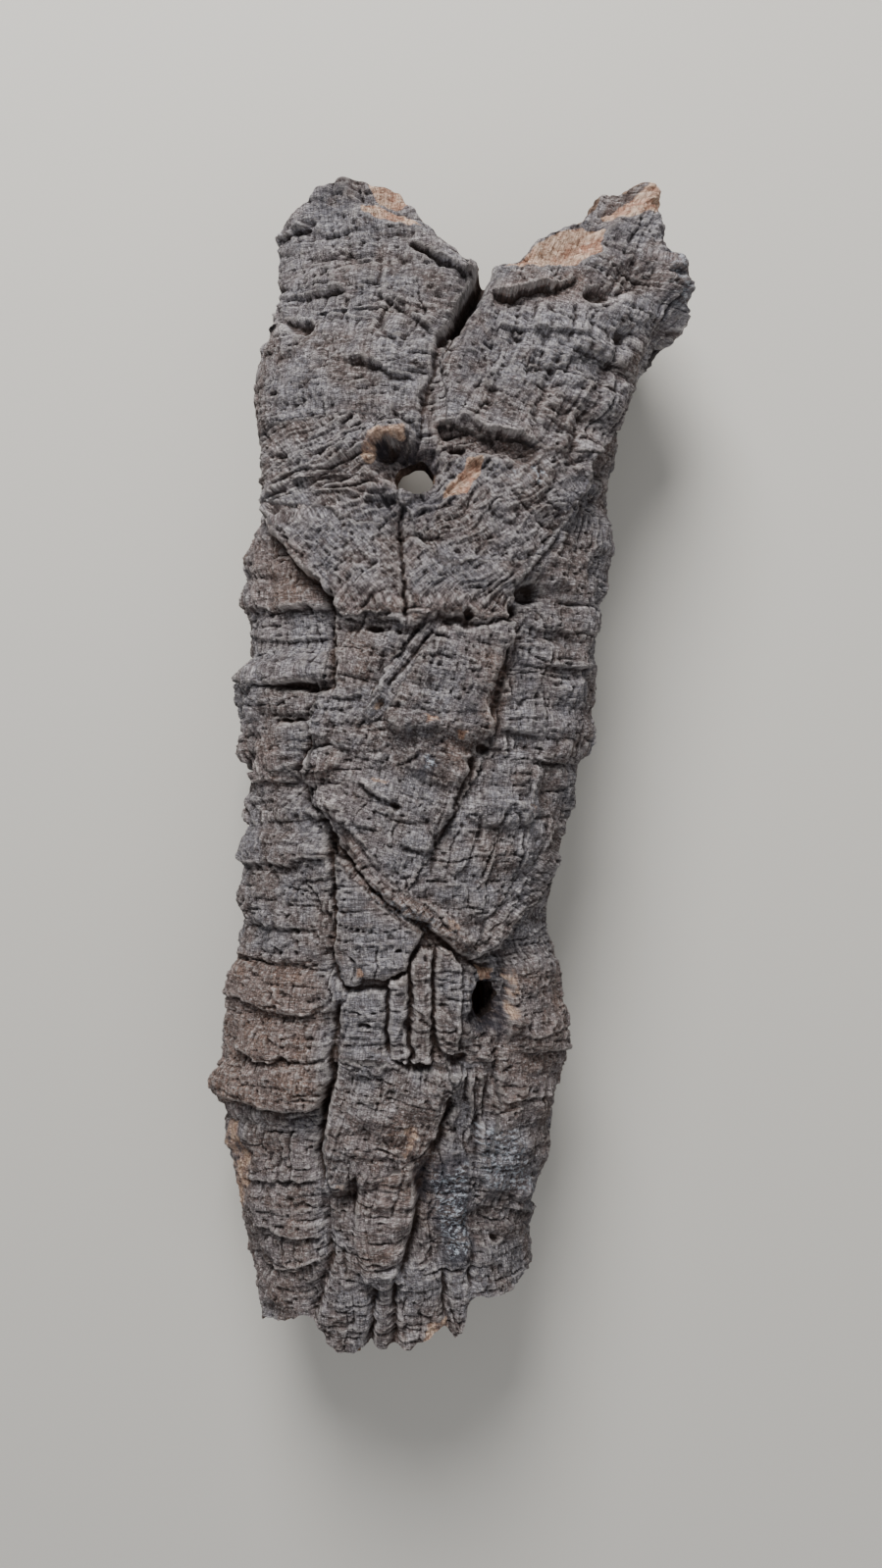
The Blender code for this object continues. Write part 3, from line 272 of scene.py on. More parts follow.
# Furrows: path, depth and half width
FURROWS = (
    {"name": "crease of the fork", "depth": 4.0, "width": 1.8, "path": (
        (16, 172), (13.3, 167.3), (7.4, 159.7), (4, 152.4), (-0.2, 145.1))},
    {"name": "crease of the fork, lower", "depth": 1.6, "width": 0.8, "path": (
        (4, 152.4), (-0.4, 145.1), (-1.3, 139.2), (-4, 130.4), (-6.6, 122), (-6.8, 114))},
    {"name": "left column", "depth": 2.4, "width": 0.9, "path": (
        (-35.5, 66), (-35.2, 50), (-35.3, 36), (-36, 31))},
    {"name": "left column, middle", "depth": 1.8, "width": 0.9, "path": (
        (-41, 33.5), (-42.3, 26), (-42.5, 20), (-44.5, 8), (-44.4, -2), (-40, -9), (-37, -13))},
    {"name": "left column, lower", "depth": 2.6, "width": 0.9, "path": (
        (-37, -11), (-36, -20), (-35.5, -45), (-35.6, -58), (-34, -64), (-31.5, -69), (-32.3, -73),
        (-34.5, -79), (-36, -90), (-37, -100), (-38.5, -107), (-40, -113), (-40.7, -130), (-39.5, -138))},
    {"name": "left column, foot", "depth": 2.2, "width": 1.2, "path": (
        (-40, -137), (-39, -146), (-38, -152), (-37, -160), (-40, -170), (-43, -180))},
    {"name": "seam of the limbs", "depth": 1.6, "width": 0.7, "path": (
        (-13, 93), (-13, 80), (-12.6, 66), (-11.8, 54))},
    {"name": "right foot of the tongue", "depth": 0.7, "width": 1.0, "path": (
        (24, 58), (23.6, 46), (21.5, 40), (18.8, 33), (17.6, 25), (17.5, 15))},
    {"name": "right foot of the tongue, lower", "depth": 2.0, "width": 1.0, "path": (
        (16, 13), (10.5, 7.5), (7.2, 1), (5.4, -4), (4.3, -10), (0.6, -16), (-2, -21), (-4, -28),
        (-4, -40))},
    {"name": "fold across the tongue", "depth": 1.3, "width": 0.7, "path": (
        (1, 57), (-5, 48), (-10, 41), (-16, 34), (-21, 26), (-24, 18))},
    {"name": "fold across the tongue, left", "depth": 1.0, "width": 0.7, "path": (
        (-3, 56), (-10, 50), (-18, 42), (-22, 34))},
    {"name": "slanting furrow", "depth": 3.2, "width": 1.5, "path": (
        (3, -104), (0, -118), (-4, -127), (-7, -138), (-8.5, -150), (-12, -160), (-14, -168))},
    {"name": "right column", "depth": 1.8, "width": 1.0, "path": (
        (20, -58), (21, -70), (20, -88), (17, -100), (13, -112), (10, -122), (9, -140), (9.5, -155),
        (10, -174))},
    {"name": "foot, first", "depth": 1.8, "width": 0.8, "path": ((-22, -168), (-23, -180), (-25, -194))},
    {"name": "foot, second", "depth": 1.8, "width": 0.8, "path": ((-15, -164), (-16, -180), (-16, -193))},
    {"name": "foot, third", "depth": 1.6, "width": 0.8, "path": ((0, -164), (2, -180), (3, -188))},
    {"name": "left limb, first", "depth": 1.3, "width": 1.0, "path": (
        (-37, 186), (-38, 172), (-39, 158))},
    {"name": "left limb, second", "depth": 1.0, "width": 0.9, "path": (
        (-19, 188), (-18, 170), (-19, 150))},
    {"name": "right limb, first", "depth": 1.6, "width": 1.1, "path": (
        (31, 160), (25, 148), (18, 134), (14, 122))},
    {"name": "right limb, second", "depth": 1.4, "width": 1.0, "path": (
        (44, 160), (40, 150), (34, 138), (30, 126), (27, 114))},
    {"name": "right limb, third", "depth": 2.2, "width": 1.4, "path": (
        (56, 152), (50, 140), (44, 126), (40, 113), (37, 104))},
    {"name": "root of the stub", "depth": 3.0, "width": 2.2, "path": (
        (69, 172), (68, 160), (66, 150), (62, 141))},
    {"name": "edge of the left side", "depth": 1.8, "width": 0.9, "path": (
        (-62, 92), (-61.5, 70), (-61.6, 50), (-62, 38))},
    {"name": "behind the left flake", "depth": 2.2, "width": 0.9, "path": (
        (-64, 34), (-65, 24), (-62.5, 12), (-60.5, 4))},
)

# Lower edges of bark that has lifted: path with the raised side on its left, drop, how far the rise reaches
# back, and depth of the groove under the edge
LEDGES = (
    {"drop": 1.6, "reach": 10, "groove": 0.8, "under": 1.0, "path": (
        (-61, 61), (-52, 58), (-44, 59.5), (-36, 59))},
    {"drop": 1.0, "reach": 9, "groove": 0.4, "under": 1.0, "path": ((-61, 49.5), (-50, 48.5), (-41, 49))},
    {"drop": 2.0, "reach": 14, "groove": 1.2, "under": 1.6, "path": (
        (-63, 35), (-52, 34.5), (-41, 34.8))},
    {"drop": 1.4, "reach": 10, "groove": 0.5, "under": 1.0, "path": ((-62, 1), (-55, 1.5), (-46, 0.5))},
    {"drop": 2.0, "reach": 8, "groove": 1.8, "under": 1.0, "path": (
        (-46, -10.5), (-42, -11.5), (-36, -11))},
    {"drop": 1.8, "reach": 12, "groove": 0.8, "under": 1.0, "path": (
        (-66, -26), (-58, -27.2), (-50, -28), (-45.5, -25.6), (-37, -25.2))},
    {"drop": 0.9, "reach": 9, "groove": 0.3, "under": 1.0, "path": (
        (-66, -47), (-52, -49), (-37, -48.6))},
    {"drop": 1.0, "reach": 8, "groove": 0.3, "under": 1.0, "path": (
        (-68, -58.5), (-55, -60.5), (-40, -59))},
    {"drop": 1.4, "reach": 11, "groove": 0.6, "under": 1.0, "path": (
        (-70, -71), (-62, -74), (-55, -76.5), (-47, -77.3), (-33, -77))},
    {"drop": 2.2, "reach": 11, "groove": 1.2, "under": 1.0, "path": (
        (-68, -88), (-63, -90), (-58, -93), (-54, -93.3), (-52.2, -91.2), (-50, -93.2), (-43, -93),
        (-36, -91))},
    {"drop": 1.8, "reach": 6, "groove": 1.6, "under": 1.0, "path": (
        (-68, -106), (-62, -108), (-50, -110.4), (-39, -109))},
    {"drop": 1.8, "reach": 10, "groove": 0.8, "under": 1.0, "path": (
        (-65, -132), (-55, -133.5), (-47, -134.5), (-42, -134))},
    {"drop": 2.6, "reach": 10, "groove": 1.4, "under": 1.0, "path": (
        (-61, -148), (-55, -149), (-50, -152), (-39, -153))},
    {"drop": 1.8, "reach": 8, "groove": 0.8, "under": 1.0, "path": (
        (-60, -162), (-48, -163), (-40, -160))},
    {"drop": 1.8, "reach": 12, "groove": 1.2, "under": 1.0, "path": (
        (-49, 160.5), (-42, 160), (-36, 160.5), (-28, 162))},
    {"drop": 2.0, "reach": 10, "groove": 1.2, "under": 1.0, "path": (
        (-20, 160.5), (-13, 156), (-7, 152), (-2, 149))},
    {"drop": 2.6, "reach": 11, "groove": 1.6, "under": 1.0, "path": (
        (-34, 139), (-26, 139), (-20, 137), (-14, 134.5), (-7, 133.5))},
    {"drop": 2.2, "reach": 7, "groove": 1.8, "under": 1.0, "path": (
        (-10, 179), (-3, 175), (4, 171.5), (13, 167.5))},
    {"drop": 2.0, "reach": 7, "groove": 1.2, "under": 1.0, "path": (
        (-49, 178), (-43, 180.5), (-37, 184))},
    {"drop": 2.4, "reach": 16, "groove": 2.6, "under": 3.0, "path": (
        (-3, 119), (3, 118), (8, 119.5), (13, 117), (20, 115), (26, 113), (31, 110))},
    {"drop": 2.8, "reach": 8, "groove": 3.6, "under": 4.5, "path": (
        (16, 163), (24, 161.5), (30, 163), (36, 164), (44, 166.5))},
    {"drop": 2.0, "reach": 10, "groove": 1.4, "under": 1.0, "path": (
        (38, 145), (47, 143), (53, 141), (60, 137))},
    {"drop": 1.4, "reach": 10, "groove": 0.8, "under": 1.0, "path": ((16, 134), (28, 137), (40, 139))},
    {"drop": 1.4, "reach": 9, "groove": 0.8, "under": 1.0, "path": (
        (15, 150), (24, 150.5), (32, 149.5), (47, 150.5))},
    {"drop": 1.6, "reach": 8, "groove": 0.8, "under": 1.0, "path": (
        (-36, 30.5), (-31, 29.2), (-25, 30.4))},
    {"drop": 1.6, "reach": 7, "groove": 1.2, "under": 1.0, "path": ((-27, 1), (-20, -4), (-13, -8))},
    {"drop": 1.6, "reach": 7, "groove": 1.0, "under": 1.0, "path": ((-18, -20), (-11, -21.5), (-4, -23))},
    {"drop": 1.6, "reach": 12, "groove": 0.9, "under": 1.0, "path": (
        (18, 18.3), (25, 17.4), (30, 15.6), (37, 15.8))},
    {"drop": 1.2, "reach": 9, "groove": 0.9, "under": 1.0, "path": ((32, 41.5), (36, 40), (44, 39.6))},
    {"drop": 1.2, "reach": 9, "groove": 0.5, "under": 1.0, "path": (
        (24, 54), (31, 51.5), (37, 52), (42, 49))},
    {"drop": 1.0, "reach": 6, "groove": 0.6, "under": 1.0, "path": ((28, 10.5), (33, 9.2), (38, 8))},
    {"drop": 2.2, "reach": 9, "groove": 1.2, "under": 1.0, "path": (
        (-28, -167), (-20, -170), (-12, -168))},
    {"drop": 1.4, "reach": 9, "groove": 0.6, "under": 1.0, "path": (
        (10, -124), (17, -124.5), (30, -123))},
    {"drop": 1.4, "reach": 9, "groove": 0.6, "under": 1.0, "path": (
        (10, -142), (16, -142.5), (28, -142))},
    {"drop": 1.4, "reach": 9, "groove": 0.5, "under": 1.0, "path": ((21, -91), (30, -91), (42, -89))},
    {"drop": 1.8, "reach": 9, "groove": 0.8, "under": 1.0, "path": ((19, -107), (28, -106), (36, -104))},
    {"drop": 1.2, "reach": 8, "groove": 0.5, "under": 1.0, "path": ((21, -83), (30, -85), (40, -82))},
)

# Raised rims with a round back: path, rise and half width
RIDGES = (
    {"name": "curled lip of the knot hole", "rise": 3.0, "width": 2.4, "path": (
        (-44, 98), (-36, 104), (-29, 109), (-22, 113), (-16, 115.6), (-12.6, 116), (-12, 113.5))},
    {"name": "curled lip, inner side", "rise": 2.2, "width": 1.8, "path": (
        (-13, 114.5), (-18, 113.5), (-22, 111.6), (-23.4, 108), (-22, 105), (-22.5, 100))},
    {"name": "left rope of the seam", "rise": 3.4, "width": 3.3, "path": (
        (-38, -4), (-33.6, -12.5), (-28.6, -20), (-25.2, -26.6), (-22.4, -30.4), (-17.2, -35.3),
        (-12, -39.2), (-7.6, -42.8), (-2.4, -45), (2, -49), (8.6, -56.5))},
    {"name": "right arm of the seam", "rise": 2.0, "width": 4.6, "path": (
        (13, -55.5), (19, -47.5), (24.5, -40.5), (29.5, -32), (34.5, -20), (40, -12))},
    {"name": "rim of the lower knot hole", "rise": 2.4, "width": 2.6, "path": (
        (8, -60), (8, -70), (7, -80), (9, -87), (14, -90.5), (18.6, -88), (22.6, -80), (22.4, -68),
        (20.5, -62))},
    {"name": "fold of the tongue", "rise": 1.6, "width": 1.9, "path": (
        (0, 57.5), (-7, 49.5), (-12, 43), (-18, 35.5), (-22, 28), (-25, 20))},
    {"name": "right crest of the tongue", "rise": 1.0, "width": 1.8, "path": (
        (19, 52), (18.4, 44), (15.4, 37), (14.2, 29), (13.6, 20))},
    {"name": "right lip of the knot hole", "rise": 1.6, "width": 1.6, "path": (
        (8, 108), (13.8, 107.4), (17.4, 103.6), (18.4, 99.2), (22.8, 94))},
    {"name": "fold beside the slanting furrow", "rise": 1.4, "width": 2.0, "path": (
        (6, -96), (4, -106), (1.5, -116), (3, -126), (4, -138))},
)

# Pits: centre, half width, half height and depth
PITS = (
    {"name": "round the fork hole", "at": (-11, 104.5), "half": (11.0, 7.6), "depth": 8.5},
    {"name": "round the lower hole", "at": (15.3, -75.6), "half": (6.0, 9.6), "depth": 7.0},
    {"name": "behind the curled lip", "at": (-17.6, 110), "half": (3.4, 2.6), "depth": 4.0},
    {"name": "cavity right of the crease", "at": (4.4, 110.4), "half": (3.6, 1.5), "depth": 3.2},
    {"name": "crevice below the left swirl", "at": (-17.6, 92), "half": (4.6, 3.6), "depth": 3.2},
    {"name": "slit above the lower hole", "at": (12.4, -61), "half": (4.6, 1.1), "depth": 3.0},
    {"name": "cavity under the right limb", "at": (27.5, 63.5), "half": (4.6, 3.6), "depth": 7.5},
    {"name": "cavity beside the tongue", "at": (21.8, 58.3), "half": (1.7, 2.4), "depth": 4.5},
    {"name": "pit of the left limb", "at": (-41.5, 148.5), "half": (3.6, 2.2), "depth": 4.5},
    {"name": "socket of the right limb", "at": (49, 160.5), "half": (4.2, 2.4), "depth": 3.5},
    {"name": "pit under the right limb", "at": (8.5, 56.8), "half": (2.1, 1.9), "depth": 5.0},
    {"name": "pit under the left limb", "at": (-21.5, 52.3), "half": (2.8, 1.4), "depth": 3.6},
    {"name": "second pit under the left limb", "at": (-14.5, 51), "half": (2.0, 0.9), "depth": 2.6},
    {"name": "pit beside the tongue's foot", "at": (13.4, 12), "half": (2.8, 1.7), "depth": 3.6},
    {"name": "second pit beside the tongue's foot", "at": (9.8, 7.2), "half": (1.3, 2.2), "depth": 2.6},
    {"name": "pit in the lower tongue", "at": (-14.8, -7), "half": (1.5, 2.4), "depth": 2.6},
    {"name": "gap beside the left column", "at": (-38.8, -110.5), "half": (1.6, 3.6), "depth": 4.0},
    {"name": "hollow beside the belly", "at": (-33, -141), "half": (5, 2.6), "depth": 3.0},
    {"name": "worm hole of the left column", "at": (-46.4, 21), "half": (2.2, 0.75), "depth": 3.0},
    {"name": "small worm hole of the left column", "at": (-51, 21), "half": (1.1, 0.8), "depth": 2.4},
    {"name": "worm hole below the flake", "at": (-26, -81.3), "half": (2.3, 1.1), "depth": 3.0},
    {"name": "worm hole of the flake", "at": (-14.5, -56), "half": (1.2, 0.8), "depth": 2.6},
    {"name": "hollow under the knobbly rows", "at": (5.4, -93.4), "half": (3.4, 1.8), "depth": 4.2},
    {"name": "worm hole of the foot", "at": (16.4, -153.5), "half": (2.0, 1.4), "depth": 3.0},
)

# From here on, what the solid leaves out: its fine cracks, wrinkles, grain and colours

# Directions of the grain, turned to the left of straight up in degrees, where it isn't straight, and how
# wiry the bark is there
GRAINS = (
    {"name": "right limb", "turn": -22, "wiry": 0.0, "outline": (
        (2, 118), (28, 112), (48, 110), (72, 150), (95, 160), (95, 210), (12, 205), (8, 165), (0, 140))},
    {"name": "swirl left of the knot hole", "turn": -62, "wiry": 1.0, "outline": (
        (-60, 88), (-50, 86), (-34, 88), (-20, 84), (-13, 92), (-10, 118), (-24, 122), (-44, 120),
        (-60, 112))},
    {"name": "foot of the left swirl", "turn": -50, "wiry": 0.5, "outline": (
        (-60, 92), (-50, 84), (-34, 60), (-12, 52), (-13, 92), (-20, 84), (-34, 88))},
    {"name": "swirl right of the knot hole", "turn": -55, "wiry": 0.9, "outline": (
        (-12, 92), (-6, 80), (4, 72), (26, 74), (38, 88), (46, 110), (28, 112), (0, 118), (-6, 96))},
    {"name": "foot of the right swirl", "turn": -50, "wiry": 0.7, "outline": (
        (-13, 66), (-9, 60), (5, 56), (20, 58), (26, 74), (4, 72), (-6, 80), (-13, 88))},
    {"name": "tongue", "turn": -14, "wiry": 0.25, "outline": (
        (-36, 58), (22, 55), (21, 40), (15.5, 12.5), (0, -18), (-12, -36), (-43, -8), (-42, 20),
        (-36, 50))},
    {"name": "fold of the tongue", "turn": -38, "wiry": 0.6, "outline": (
        (2, 58), (-3, 48), (-10, 38), (-20, 22), (-26, 20), (-20, 36), (-10, 50), (-3, 58))},
    {"name": "left rope of the seam", "turn": 42, "wiry": 0.5, "outline": (
        (-43, -8), (-36, -10), (-27, -18), (-16, -33), (0, -45), (10, -57), (4, -60), (-14, -46),
        (-30, -32))},
    {"name": "right arm of the seam", "turn": -38, "wiry": 0.5, "outline": (
        (46, -12), (36, -10), (24, -28), (14, -44), (8, -56), (14, -60), (24, -46), (38, -24))},
    {"name": "strands of the belly", "turn": -4, "wiry": 0.8, "outline": (
        (6, -94), (18, -94), (19, -110), (15, -126), (8, -126), (2, -112))},
    {"name": "belly", "turn": -16, "wiry": 0.15, "outline": (
        (-34, -92), (2, -95), (4, -108), (-6, -126), (-26, -134), (-38, -134), (-38, -112))},
)

# Long cracks that stand out: path, depth and half width
CRACKS = (
    {"depth": 1.6, "width": 0.7, "path": ((-14, 80.5), (-8, 81.5), (0, 80.5))},
    {"depth": 1.6, "width": 0.5, "path": ((-18, 160), (-13, 157), (-8, 153))},
    {"depth": 1.8, "width": 0.6, "path": ((-10, 178), (0, 172), (8, 169))},
    {"depth": 1.2, "width": 0.5, "path": ((-39, 180), (-39, 163))},
    {"depth": 1.1, "width": 0.5, "path": ((-18, 172), (-18, 163))},
    {"depth": 1.0, "width": 0.5, "path": ((-29, 158), (-28.5, 148), (-29, 141))},
    {"depth": 1.3, "width": 0.5, "path": ((19, 158), (17, 148), (13, 138))},
    {"depth": 1.2, "width": 0.5, "path": ((25, 158), (23, 148), (20, 139))},
    {"depth": 1.2, "width": 0.5, "path": ((36, 158), (33, 148), (29, 138))},
    {"depth": 1.4, "width": 0.5, "path": ((42, 158), (40, 149), (35, 139))},
    {"depth": 1.4, "width": 0.5, "path": ((48, 157), (46, 148), (44, 140))},
    {"depth": 1.5, "width": 0.6, "path": ((40, 144), (47, 143.5), (53, 141), (60, 139))},
    {"depth": 1.2, "width": 0.5, "path": ((52, 150), (58, 150), (63, 148))},
    {"depth": 1.6, "width": 0.8, "path": ((-54, 21.5), (-49, 21), (-43.5, 21))},
    {"depth": 1.2, "width": 0.5, "path": ((-53.4, 57), (-53.6, 48), (-54, 40))},
    {"depth": 1.0, "width": 0.5, "path": ((-60, 40.6), (-54, 39.8))},
    {"depth": 0.9, "width": 0.5, "path": ((-42.4, 57), (-42.6, 38))},
    {"depth": 1.3, "width": 0.6, "path": ((-64, -90), (-64, -106))},
    {"depth": 0.9, "width": 0.5, "path": ((-44.4, -29), (-44.6, -40), (-44.2, -50))},
    {"depth": 0.9, "width": 0.5, "path": ((-42.5, -94), (-43, -106))},
    {"depth": 1.0, "width": 0.5, "path": ((-58, -68), (-48, -67.6), (-40, -68.6))},
    {"depth": 1.6, "width": 0.6, "path": ((9, -60), (13, -62), (17, -62.5))},
    {"depth": 1.4, "width": 0.6, "path": ((-22, -168), (-22, -180), (-26, -190))},
    {"depth": 1.4, "width": 0.6, "path": ((-38, -156), (-33, -157), (-32, -166))},
    {"depth": 1.3, "width": 0.6, "path": (
        (-27, -20), (-22.5, -28.5), (-16.5, -34.5), (-9, -39.5), (-1, -44.6), (4, -51))},
    {"depth": 1.2, "width": 0.5, "path": ((-38, 26), (-33, 25), (-27, 26.6))},
    {"depth": 1.2, "width": 0.5, "path": ((-3, 22), (-6, 25), (-10, 25))},
    {"depth": 1.4, "width": 0.6, "path": ((-26, 10), (-22, 7), (-17, 8))},
    {"depth": 1.2, "width": 0.5, "path": ((20, 96), (28, 88), (33, 84))},
    {"depth": 1.2, "width": 0.5, "path": ((5, 90), (14, 94), (22, 97))},
)

# Wiry ridges: path, rise and half width
STRANDS = (
    {"rise": 1.6, "width": 0.9, "path": ((-45, 105), (-30, 113), (-20, 117), (-12, 118))},
    {"rise": 1.3, "width": 0.8, "path": ((-50, 100), (-38, 106), (-26, 110.5))},
    {"rise": 1.2, "width": 0.8, "path": ((-54, 94), (-42, 98), (-32, 101), (-24, 100))},
    {"rise": 1.2, "width": 0.8, "path": ((-52, 89.5), (-40, 93), (-28, 95), (-20, 93))},
    {"rise": 1.6, "width": 1.0, "path": ((9, -95), (10, -105), (10, -115), (9.5, -122), (9.5, -160))},
    {"rise": 1.4, "width": 0.9, "path": ((13, -96), (14, -106), (13.5, -118), (13, -126))},
    {"rise": 1.2, "width": 0.9, "path": ((16.5, -98), (18, -108), (17.5, -120))},
    {"rise": 1.4, "width": 1.2, "path": (
        (47, 114), (44, 106), (43, 98), (41, 92), (38, 85), (35, 79), (31, 74))},
    {"rise": 1.0, "width": 0.7, "path": ((-33.6, 56), (-33.8, 46), (-33.4, 36))},
    {"rise": 1.2, "width": 1.4, "path": ((26, 69.5), (28.5, 71.5), (30.5, 73))},
)

# Colours of places, as strength and outline
FRESH = (
    (1.0, ((20, 171), (30, 179), (38, 184), (46, 186), (52, 183.5), (49, 176), (43, 171), (35, 170),
        (27, 171))),
    (0.85, ((52, 190), (60, 194), (67, 203), (70, 192), (60, 187), (54, 187))),
    (1.0, ((-24, 201), (-14, 200), (-8, 193), (-14, 191), (-20, 193))),
    (1.0, ((-24, 190), (-20, 191.5), (-14, 189), (-6, 184.5), (-9, 183), (-16, 185), (-22, 187))),
    (1.0, ((0.6, 94.6), (7.2, 95), (9.8, 99), (12.6, 102.6), (13.2, 106.8), (8, 106.8), (7.2, 103.6),
        (2.6, 97.3))),
    (0.55, ((-24.6, 107), (-23, 112), (-19.6, 114.4), (-14, 116), (-11, 117.5), (-11, 113.5),
        (-16, 112.6), (-20, 111.4), (-21, 105))),
    (0.6, ((-29, -61), (-26.5, -61), (-25.4, -64.6), (-28, -65.4))),
    (0.6, ((-7, 24), (-2, 23), (-0.5, 20.5), (-5, 20.5))),
    (0.7, ((4.4, 19), (7.6, 18), (7.6, 15), (5, 14.6))),
    (0.4, ((-22.4, 32.5), (-19.6, 32), (-19, 26), (-21.6, 25))),
    (0.45, ((-19, -117), (-9, -114.5), (-8, -119), (-12, -126), (-17, -122))),
    (0.7, ((12, -61.8), (17.5, -62.4), (17, -67), (13.4, -67))),
    (0.4, ((20.5, -62), (24.5, -62), (25, -80), (21.6, -80))),
    (0.5, ((27, -6.6), (29.6, -8), (28.6, -11), (26.6, -9.6))),
    (0.5, ((-23, 2.4), (-17, 1.4), (-17, 0), (-22, 0.6))),
    (0.45, ((1, -44), (5, -46), (5, -49), (1, -48))),
    (0.35, ((-36, -137), (-30, -137), (-31, -134), (-35, -134))),
    (0.5, ((-70, -112), (-64, -113), (-62, -135), (-66, -150))),
    (0.5, ((-5, -181), (2, -181), (3, -189), (-6, -189))),
)
# Brown tone of the bark; the strips under the lip of the right limb, under its lobe above the knot hole and
# under the ledge of the left column at v -59 are painted shade
WARM = (
    (0.9, ((-80, -58), (-48, -59), (-40, -70), (-44, -92), (-40, -108), (-80, -108))),
    (0.7, ((-62, 82), (-44, 79), (-37, 60), (-62, 60))),
    (0.5, ((-36, 56), (-24, 58), (-24, 36), (-36, 32))),
    (0.6, ((-62, 20), (-52, 10), (-50, -2), (-62, 0))),
    (0.4, ((-37, 12), (-24, 10), (-22, -12), (-36, -12), (-44, -2))),
    (0.5, ((22, -64), (42, -62), (42, -112), (18, -112))),
    (0.9, ((13, 44), (22, 44), (18, 18), (12, 18), (14, 30))),
    (0.7, ((0, 13), (9, 13), (8, 6), (2, 8))),
    (0.7, ((16, 163), (44, 167), (50, 160), (34, 157), (18, 158))),
    (0.5, ((-30, -112), (0, -110), (-6, -160), (-26, -160))),
    (0.9, ((-60, -58.5), (-44, -60), (-44, -64), (-62, -64))),
    (0.45, ((-66, -120), (-42, -120), (-44, -176), (-62, -176))),
    (0.7, ((-3, 119), (20, 114), (28, 108), (14, 108), (-2, 110))),
    (0.6, ((-22, 113), (-4, 113), (-1, 100), (-22, 98))),
    (0.6, ((-30, 58), (-16, 58), (-11, 54), (20, 56), (20, 61), (-8, 62), (-20, 64), (-34, 66))),
    (0.4, ((60, 150), (48, 110), (58, 80), (62, 110))),
    (0.6, ((-33, -20), (-28, -20), (0, -46), (8, -56), (4, -60), (-14, -47), (-28, -34))),
)
# Dark blue-grey stains of the bark; the patch on the flank right of the fork's crease is painted shade of
# that deep, hidden flank
STAINS_AND_PAINTED_SHADE = (
    (1.0, ((9, -62), (14, -66), (19, -64), (22, -76), (20, -86), (14, -87), (8.5, -82))),
    (0.9, ((-22, 113), (-10, 114), (-1, 111), (-1, 104.5), (-14, 107), (-21, 103))),
    (1.0, ((-7, -128), (9, -126), (11, -160), (2, -164), (-3, -148), (-8, -140))),
    (0.9, ((-8, 14), (-1, 15), (0, 9), (-6, 2), (-9.5, 2))),
    (0.7, ((-24, 96), (-6, 97), (4, 92), (-2, 86), (-14, 84), (-22, 90))),
    (0.5, ((14, 166), (20, 150), (12, 132), (4, 132), (6, 150))),
    (0.5, ((36, 88), (44, 110), (50, 112), (44, 86))),
    (0.6, ((23, 44), (28, 44), (28, 33), (23, 33))),
    (0.4, ((10, -120), (30, -120), (28, -150), (12, -150))),
    (0.5, ((5, 36), (12, 36), (11, 20), (4, 22))),
    (0.5, ((35.5, 2), (40, 0), (40, -6), (35.5, -5))),
    (0.6, ((-36, 197), (-25, 199), (-25, 189), (-36, 186))),
    (0.7, ((66, 182), (86, 182), (88, 150), (66, 156))),
    (0.5, ((50, 186), (58, 186), (62, 170), (52, 168))),
)
LICHEN = (
    (0.9, ((25.5, 102), (28, 104.5), (30.5, 102), (28, 99.5))),
    (0.6, ((19.5, 103), (22.5, 103), (22, 101.5), (20, 101.5))),
    (0.8, ((-5.4, 10), (-3, 10), (-2.6, 5.6), (-5, 6))),
    (0.75, ((-3, -134), (8, -129), (8.5, -158), (3, -160), (-1, -146))),
    (0.55, ((12, -116), (24, -116), (28, -136), (14, -136))),
    (0.3, ((66, 180), (82, 178), (84, 158), (68, 160))),
    (0.3, ((-22, -34), (-2, -46), (-4, -50), (-24, -38))),
)
PALE = (
    (0.6, ((-58, 57), (-38, 57), (-38, 36), (-58, 36))),
    (0.5, ((-48, 186), (-30, 186), (-30, 150), (-46, 150))),
    (0.6, ((22, 158), (46, 158), (40, 146), (24, 146))),
    (0.6, ((-25, -14), (-14, -24), (-8, -36), (-24, -32))),
    (0.5, ((24, 34), (40, 34), (40, 19), (22, 19))),
    (0.5, ((16, -4), (26, -8), (24, -12), (12, -12))),
    (0.5, ((-24, -50), (-12, -50), (-12, -62), (-24, -64))),
    (0.4, ((4, 53), (22, 53), (22, 46), (6, 46))),
)

MAP_STEP = 0.4
SKIN_STEP = 0.52
BACK_STEP = 1.1
# Small plates of dry bark, across and along the grain
PLATE_WIDTH = 13.0
PLATE_LENGTH = 9.0
# How far the sides are drawn in, so that their relief ends on the outline
SIDE_TRIM = 1.4
RIM_LAYERS = 12
TRIANGLES = 780000
GROUND_MARGIN = 0.4


def fade(value, low, high):
    """0 below low, 1 above high, and smooth between them."""
    share = np.clip((value - low) / (high - low), 0.0, 1.0)
    return share * share * (3.0 - 2.0 * share)


def lattice(i, j, k, seed):
    """A number from -1 to 1 that looks random, and is always the same at one lattice point."""
    mixed = (i * 374761393 + j * 668265263 + k * 1440662683 + seed * 974634777) & 0xFFFFFFFF
    mixed = ((mixed ^ (mixed >> 13)) * 1274126177) & 0xFFFFFFFF
    return ((mixed ^ (mixed >> 16)) & 0xFFFF) / 32767.5 - 1.0


def noise(x, y, z, seed):
    """Smooth noise from -1 to 1 whose lumps are about one unit across."""
    x, y, z = np.broadcast_arrays(x, y, z)
    floors = [np.floor(c).astype(np.int64) for c in (x, y, z)]
    shares = [c - f for c, f in zip((x, y, z), floors)]
    sx, sy, sz = (s * s * (3.0 - 2.0 * s) for s in shares)
    total = np.zeros(x.shape)
    for corner in range(8):
        a, b, c = corner & 1, corner >> 1 & 1, corner >> 2 & 1
        weight = (sx if a else 1 - sx) * (sy if b else 1 - sy) * (sz if c else 1 - sz)
        total += weight * lattice(floors[0] + a, floors[1] + b, floors[2] + c, seed)
    return total


